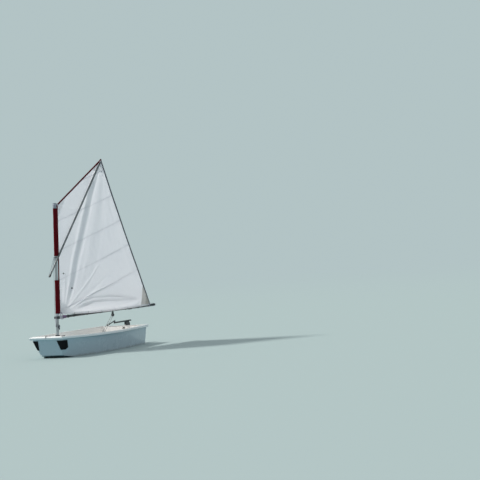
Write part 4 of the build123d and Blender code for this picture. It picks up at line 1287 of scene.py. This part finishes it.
boom_radius = (in_rig("boom")[:, 1].max() - in_rig("boom")[:, 1].min()) / 2
mast_radius = (in_rig("mast")[:, 1].max() - in_rig("mast")[:, 1].min()) / 2
boom_front, boom_back = RIG_BACK @ boom_start, RIG_BACK @ boom_end
boom_axis = boom_back - boom_front


def boom_place(x, across=0.0, above=0.0):
    """Return a point beside the boom at a distance x aft of the mast, in the rig's frame."""
    share = (x - boom_front.x) / (boom_back.x - boom_front.x)
    return boom_front.lerp(boom_back, share) + Vector((0, across, above))


def rig_rope(name, points, radius, material):
    """Lay a rope that moves with the rig, through points in the rig's frame."""
    fit(rope(name, [RIG @ Vector(point) for point in points], radius, material), "rig")


def hull_rope(name, points, radius, material):
    """Lay a rope that stays with the hull, through points in the boat's frame."""
    fit(rope(name, points, radius, material), "hull")


def loop_through(name, hole, spar, spar_axis, spar_radius, turns, material):
    """Lash an eyelet to a spar: turns of thin line through the hole and round the spar."""
    axis = spar_axis.normalized()
    away = hole - spar
    offset = away.dot(axis)
    away = away - axis * offset
    reach = away.length
    away.normalize()
    side = axis.cross(away)
    wide = spar_radius + thin_line_radius * 1.15
    slim = thin_line_radius * 2.2
    points = []
    for i in range(loop_steps * turns + 1):
        angle = 2 * math.pi * i / loop_steps
        towards = math.cos(angle)
        shift = (i / loop_steps - turns / 2) * thin_line_radius * turn_pitch + offset * max(0.0, towards)
        long = reach if towards > 0 else wide
        narrow = wide if towards < 0.35 else slim + (wide - slim) * (1 - towards) / 0.65
        points.append(spar + axis * shift + away * long * towards + side * narrow * math.sin(angle))
    rig_rope(name, points, thin_line_radius, material)


def jaw_lashing():
    """Turns of line round the jaw of the boom, in the shape of a box with rounded corners."""
    along = boom_axis.normalized()
    turns, steps = jaw_lashing_turns, 32
    wrap = []
    for i in range(turns * steps + 1):
        angle = 2 * math.pi * i / steps
        y = math.copysign(abs(math.cos(angle)) ** 0.2, math.cos(angle)) * (jaw_half_width + jaw_wrap_beside)
        z = math.copysign(abs(math.sin(angle)) ** 0.2, math.sin(angle)) * (jaw_half_depth + jaw_wrap_above)
        x = (i / (turns * steps) - 0.5) * turns * lashing_radius * turn_pitch
        middle = boom_place(jaw_lashing_at) + along * x
        wrap.append(middle + Vector((0, y, 0)) + along.cross(Vector((0, 1, 0))) * z)
    rig_rope("jaw_lashing", wrap, lashing_radius, white_rope)


def lashings():
    """The lashings of the sail's corners, the ties of its foot, and the turns of line on the boom."""
    up = Vector((0, 0, 1))
    spots = [Vector((x, sail_depth(x, z)[0], z)) for x, z in eyelet_spots]
    tack_eye, throat_eye, clew_eye, peak_eye = spots[:4]
    above_tack, above_throat = Vector((0, 0, tack_eye.z - 0.035)), Vector((0, 0, throat_eye.z - 0.01))
    loop_through("throat_lashing", throat_eye, above_throat, up, mast_radius + 0.004, 3, white_rope)
    loop_through("tack_lashing", tack_eye, above_tack, up, mast_radius + 0.002, 3, white_rope)
    below_tack = boom_place(tack_eye.x + 0.012)
    loop_through("tack_tie_down", tack_eye, below_tack, boom_axis, boom_radius + 0.016, 3, purple_rope)
    loop_through("clew_tie_down", clew_eye, boom_place(clew_eye.x), boom_axis, boom_radius, 3, white_rope)
    jaw_lashing()
    for (name, x, turns), material in zip(BOOM_TURNS, (purple_rope, dark_rope)):
        wrap = turns_round(boom_place(x), boom_axis, boom_radius + lashing_radius, turns,
                           advance=turns * lashing_radius * turn_pitch)
        rig_rope(name, wrap, lashing_radius, material)
    for i, spot in enumerate(spots[4:]):
        loop_through(f"foot_tie_{i + 1}", spot, boom_place(spot.x), boom_axis, boom_radius, 2, dark_rope)
    end = boom_place(boom_back.x)
    outhaul = [
        clew_eye + Vector((0.004, -0.004, 0)), clew_eye.lerp(end, 0.5) + Vector((0, -0.006, 0.010)),
        end + Vector((0.016, -0.010, 0.012)), end + Vector((0.012, -0.020, -0.012)),
        boom_place(end.x - 0.09, -0.010, -boom_radius - 0.004),
        boom_place(end.x - 0.30, -0.004, -boom_radius - 0.005),
        boom_place(1.54, 0.0, -boom_radius - 0.006), boom_place(1.44, 0.004, -boom_radius - 0.008),
    ]
    rig_rope("clew_outhaul", outhaul, thin_line_radius, white_rope)
    tip = RIG_BACK @ sprit_high
    sprit_axis = (tip - (RIG_BACK @ sprit_low)).normalized()
    loop_through("peak_lashing", peak_eye, tip - sprit_axis * 0.018, sprit_axis, 0.006, 3, white_rope)


lashings()


def sprit_tackle():
    """The tackle that pushes the sprit up: a strop on the mast, two falls to the sprit's heel, and a tail."""
    heel = RIG_BACK @ sprit_low
    strop_height = upper_low - 0.018
    strop = turns_round(Vector((0, 0, strop_height)), Vector((0, 0, 1)), mast_radius + line_radius, 2,
                        advance=0.011, start=0.4)
    rig_rope("sprit_strop", strop, line_radius, dark_rope)
    hang = Vector((-mast_radius - 0.010, -0.012, strop_height - 0.006))
    notch = heel + Vector((-0.004, 0, -0.010))
    falls = [
        hang, hang.lerp(notch, 0.5) + Vector((0.002, -0.002, 0)), notch + Vector((0.006, -0.004, 0.004)),
        notch + Vector((-0.004, 0.002, -0.003)), notch + Vector((-0.010, 0.006, 0.008)),
        hang.lerp(notch, 0.5) + Vector((-0.008, 0.006, 0.004)), hang + Vector((-0.010, 0.010, 0.004)),
    ]
    rig_rope("sprit_falls", falls, thin_line_radius, blue_rope)
    front = mast_radius + 0.012
    tail = [
        hang + Vector((-0.008, 0.008, 0.002)), (-front * 0.8, front * 0.75, strop_height - 0.10),
        (-front * 0.75, front * 0.8, 0.90), (-front * 0.72, front * 0.78, 0.60),
        (-front * 0.75, front * 0.75, 0.38), (-front * 0.78, front * 0.55, 0.25),
        (-front * 0.9, 0.002, 0.165), (-front * 0.75, -front * 0.55, 0.158),
        (-0.006, -front - 0.008, 0.170), (0.012, -front - 0.010, 0.150), (-0.010, -front - 0.013, 0.120),
        (0.010, -front - 0.013, 0.122), (-0.012, -front - 0.014, 0.165), (0.010, -front - 0.015, 0.163),
        (-0.008, -front - 0.016, 0.128),
    ]
    rig_rope("sprit_tail", tail, thin_line_radius, blue_rope)


def boom_downhaul():
    """A loop of line that holds the boom's jaw down to the foot of the mast."""
    down = [
        (-mast_radius - 0.004, -0.006, 0.305), (-mast_radius - 0.012, -0.012, 0.24),
        (-mast_radius - 0.010, -0.002, 0.166), (-mast_radius - 0.014, 0.004, 0.158),
        (-mast_radius - 0.010, 0.006, 0.20), (-mast_radius - 0.006, 0.010, 0.30),
    ]
    rig_rope("boom_downhaul", down, thin_line_radius * 1.15, white_rope)


sprit_tackle()
boom_downhaul()


def mainsheet():
    """The rope between the block under the boom and the block on the floor, and the becket's turns."""
    boom_low, boom_high = [Vector(corner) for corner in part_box("boom_block")]
    floor_low, floor_high = [Vector(corner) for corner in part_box("floor_block")]
    reach = sheave_radius
    upper, lower = (boom_low + boom_high) / 2, (floor_low + floor_high) / 2
    upper.z = boom_low.z + sheave_in_block
    lower.z = floor_high.z - sheave_in_block
    across = (RIG.to_3x3() @ Vector((1, 0, 0))).normalized()
    over = [upper + across * reach * a + Vector((0, 0, reach * b))
            for a, b in ((-1, 0), (-0.7, 0.7), (0, 1), (0.7, 0.7), (1, 0))]
    under = [lower + Vector(offset) for offset in (
        (0, -reach - 0.004, 0.002), (0, -reach * 0.75, -reach * 0.75), (0, 0, -reach),
        (0, reach * 0.75, -reach * 0.75), (0, reach + 0.012, 0.006),
    )]
    route = [
        lower + Vector((0.0, 0.030, 0.004)), lower.lerp(upper, 0.35) + across * -0.018,
        lower.lerp(upper, 0.75) + across * -0.020, *over,
        upper.lerp(lower, 0.3) + across * 0.020, upper.lerp(lower, 0.7) + across * 0.018, *under,
    ]
    piece = rope("mainsheet", route, sheet_radius, sheet_rope, step=sheet_step)
    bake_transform(piece)
    becket = turns_round(boom_place((RIG_BACK @ upper).x), boom_axis, boom_radius + 0.004 + line_radius, 2,
                         advance=0.012)
    rig_rope("sheet_becket", becket, line_radius, green_rope)


mainsheet()


def mast_foot_line(joint, top, radius, edge):
    """The dark line that climbs round the foot of the mast, over the thwart's edge and back."""
    line = []
    for i in range(29):
        angle = math.radians(-170 + 20 * i)
        lift = dark_line_radius + 0.019 * (1 - i / 28)
        line.append(joint + Vector((radius * math.cos(angle) - 0.08 * lift, radius * math.sin(angle), lift)))
    line += [
        (edge - 0.020, 0.016, top), (edge + 0.001, 0.026, top - 0.003), (edge + 0.0065, 0.030, top - 0.014),
        (edge + 0.0065, 0.040, top - 0.015), (edge + 0.001, 0.047, top - 0.003), (edge - 0.018, 0.062, top),
        (edge - 0.024, 0.078, top), (edge - 0.048, 0.088, top), (edge - 0.100, 0.082, top),
        (edge - 0.150, 0.088, top),
    ]
    hull_rope("mast_foot_line", line, dark_line_radius, dark_rope)


def bow_line(joint, top, radius, edge):
    """The thin line from the mast to the bow rail, and its end over the rail, drawn black as a painted shadow
    where it drops over the rail.
    """
    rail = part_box("bow_rail")
    front, rail_top = rail[1][0], rail[1][2]
    line = [
        (joint.x + radius + 0.012, -0.016, top), (joint.x + 0.070, -0.014, top),
        (edge - 0.004, -0.013, top), (edge + 0.030, -0.014, top - 0.004),
        ((edge + front) / 2, -0.012, rail_top - 0.004), (front - 0.060, -0.006, rail_top + 0.004),
        (front - 0.036, -0.002, rail_top + 0.005),
    ]
    hull_rope("bow_line", line, line_radius * 1.3, purple_rope)
    # The line's end over the rail is black plastic: a painted shadow where the line drops over the rail
    hook = [
        (front - 0.044, 0.000, rail_top + 0.004), (front - 0.030, 0.001, rail_top + 0.006),
        (front - 0.012, 0.002, rail_top + 0.006), (front + 0.001, 0.003, rail_top - 0.001),
        (front + 0.002, 0.004, rail_top - 0.014), (front + 0.001, 0.006, rail_top - 0.024),
    ]
    fit(rope("bow_line_end_painted_shade", hook, painted_shade_end_radius, black_plastic), "hull")


def deck_lines():
    """Both lines on the mast thwart, from the place of the mast's joint in it."""
    joint = Vector(joints["rig_turn"]["pos_m"])
    top = joint.z + dark_line_radius
    radius = mast_radius + dark_line_radius + 0.002
    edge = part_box("mast_thwart")[1][0]
    mast_foot_line(joint, top, radius, edge)
    bow_line(joint, top, radius, edge)


deck_lines()


def stern_plate():
    """A dark backing plate inside the stern, with the two bolts of the rudder's upper fitting."""
    solid = node_surface("stern_transom")
    hit, normal = solid.ray_cast(Vector((0, 0, plate_height)), Vector((-1, 0, 0)))[:2]
    rise = Vector((0, 0, 1)) - normal * normal.z
    rise.normalize()
    side = rise.cross(normal)
    half_width, half_rise = plate_width / 2 - plate_corner, plate_rise / 2 - plate_corner
    outline = []
    for cy, cz, first in ((1, 1, 0), (-1, 1, 90), (-1, -1, 180), (1, -1, 270)):
        for k in range(5):
            turn = math.radians(first + 22.5 * k)
            outline.append((cy * half_width + plate_corner * math.cos(turn),
                            cz * half_rise + plate_corner * math.sin(turn)))
    places = []
    for lift, share in PLATE_RINGS:
        places += [hit + normal * lift + (side * y + rise * z) * share for y, z in outline]
    made = [make_piece("plate", places, band_faces(len(PLATE_RINGS), len(outline)), black_plastic)]
    for y in (-bolt_offset, bolt_offset):
        head = []
        for lift, radius in BOLT_RINGS:
            middle = hit + side * y + normal * lift
            turns = [2 * math.pi * k / bolt_sides for k in range(bolt_sides)]
            head += [middle + at_angle(side, rise, turn) * radius for turn in turns]
        made.append(make_piece("bolt", head, band_faces(len(BOLT_RINGS), bolt_sides), bare_steel))
    fit(join("stern_plate", made), "hull")


stern_plate()


def hull_outline():
    """Return the outside of the hull at the level of the water, in order round it."""
    crossings = []
    for name in ("hull_bottom", "hull_side_port", "hull_side_starboard", "bow_transom", "stern_transom"):
        mesh = nodes[name].data
        points = node_points(name)
        for edge in mesh.edges:
            a, b = points[edge.vertices[0]], points[edge.vertices[1]]
            if a[2] * b[2] < 0:
                share = a[2] / (a[2] - b[2])
                crossings.append(tuple(a[:2] + (b[:2] - a[:2]) * share))
    crossings = sorted(set(crossings))
    chains = []
    for order in (crossings, crossings[::-1]):
        chain = []
        for point in order:
            while len(chain) > 1:
                (ax, ay), (bx, by) = chain[-2:]
                if (bx - ax) * (point[1] - ay) - (by - ay) * (point[0] - ax) > 0:
                    break
                chain.pop()
            chain.append(point)
        chains += chain[:-1]
    middle = Vector(np.mean(chains, axis=0))
    return [Vector(p) - (Vector(p) - middle).normalized() * floor_inside_wall for p in chains]


def in_view(tree):
    """Return 1 for the camera's rays, straight, through glass or off a gloss, and 0 for other light."""
    ray = wire(tree, "ShaderNodeLightPath").outputs
    direct = calc(tree, "MAXIMUM", ray["Is Camera Ray"], ray["Is Transmission Ray"])
    return calc(tree, "MAXIMUM", direct, ray["Is Glossy Ray"])


def make_floor():
    """A wide pale floor at the level of the water, open inside the hull."""
    work = bmesh.new()
    round_edge = [at_angle(Vector((1, 0)), Vector((0, 1)), i * math.pi / 24) * floor_reach for i in range(48)]
    for ring in (hull_outline(), round_edge):
        corners = [work.verts.new((point.x, point.y, 0.0)) for point in ring]
        for a, b in zip(corners, corners[1:] + corners[:1]):
            work.edges.new((a, b))
    bmesh.ops.triangle_fill(work, use_beauty=True, use_dissolve=False, edges=work.edges, normal=(0, 0, 1))
    mesh = bpy.data.meshes.new("floor")
    work.to_mesh(mesh)
    work.free()
    made, tree, shader, place = start_finish("floor_paper")
    far = ramp(tree, vector_calc(tree, "LENGTH", place)[1], floor_fades_from, floor_fades_to)
    paper = blend_colours(tree, in_view(tree), floor_bounce, floor_colour)
    set_shader(tree, shader, Base_Color=paper, Roughness=0.9, Specular_IOR_Level=0.1)
    glow = wire(tree, "ShaderNodeEmission", {"Color": backdrop_colour, "Strength": 1.0})
    mixed = wire(tree, "ShaderNodeMixShader", {0: far, 1: shader.outputs[0], 2: glow.outputs[0]})
    tree.links.new(mixed.outputs[0], tree.nodes["Material Output"].inputs["Surface"])
    mesh.materials.append(made)
    floor = bpy.data.objects.new("floor", mesh)
    bpy.context.scene.collection.objects.link(floor)


def make_light():
    """A soft high lamp from starboard, and a sky that is brighter overhead."""
    world = bpy.data.worlds.new("sky")
    bpy.context.scene.world = world
    world.use_nodes = True
    tree = world.node_tree
    tree.nodes.clear()
    direction = wire(tree, "ShaderNodeTexCoord").outputs["Generated"]
    heading, lift = math.radians(sun_heading), math.radians(sun_height)
    toward = Vector((math.cos(heading) * math.cos(lift), math.sin(heading) * math.cos(lift), math.sin(lift)))
    height = wire(tree, "ShaderNodeSeparateXYZ", {0: direction}).outputs[2]
    sky = blend_colours(tree, ramp(tree, height, 0.0, 0.9), sky_low, sky_high)
    light = wire(tree, "ShaderNodeBackground", {"Color": sky, "Strength": sky_strength})
    seen = wire(tree, "ShaderNodeBackground", {"Color": backdrop_colour, "Strength": 1.0})
    both = wire(tree, "ShaderNodeMixShader", {0: in_view(tree), 1: light.outputs[0], 2: seen.outputs[0]})
    wire(tree, "ShaderNodeOutputWorld", {"Surface": both.outputs[0]})
    lamp = bpy.data.lights.new("sun", "SUN")
    lamp.energy = sun_strength
    lamp.angle = math.radians(sun_spread)
    lamp.color = sun_colour
    sun = bpy.data.objects.new("sun", lamp)
    sun.rotation_mode = "QUATERNION"
    sun.rotation_quaternion = toward.to_track_quat("Z", "Y")
    bpy.context.scene.collection.objects.link(sun)


def make_camera():
    """A camera at the photograph's place and angle."""
    data = bpy.data.cameras.new("camera")
    data.lens = camera_lens
    data.sensor_width = sensor_width
    data.clip_end = 2000.0
    camera = bpy.data.objects.new("camera", data)
    back = -Vector(camera_looks_along).normalized()
    right = Vector(camera_upright).cross(back).normalized()
    up = back.cross(right)
    camera.matrix_world = Matrix.Translation(camera_place) @ Matrix((right, up, back)).transposed().to_4x4()
    bpy.context.scene.collection.objects.link(camera)
    bpy.context.scene.camera = camera


make_floor()
make_light()
make_camera()
bpy.context.scene.view_settings.view_transform = "Standard"
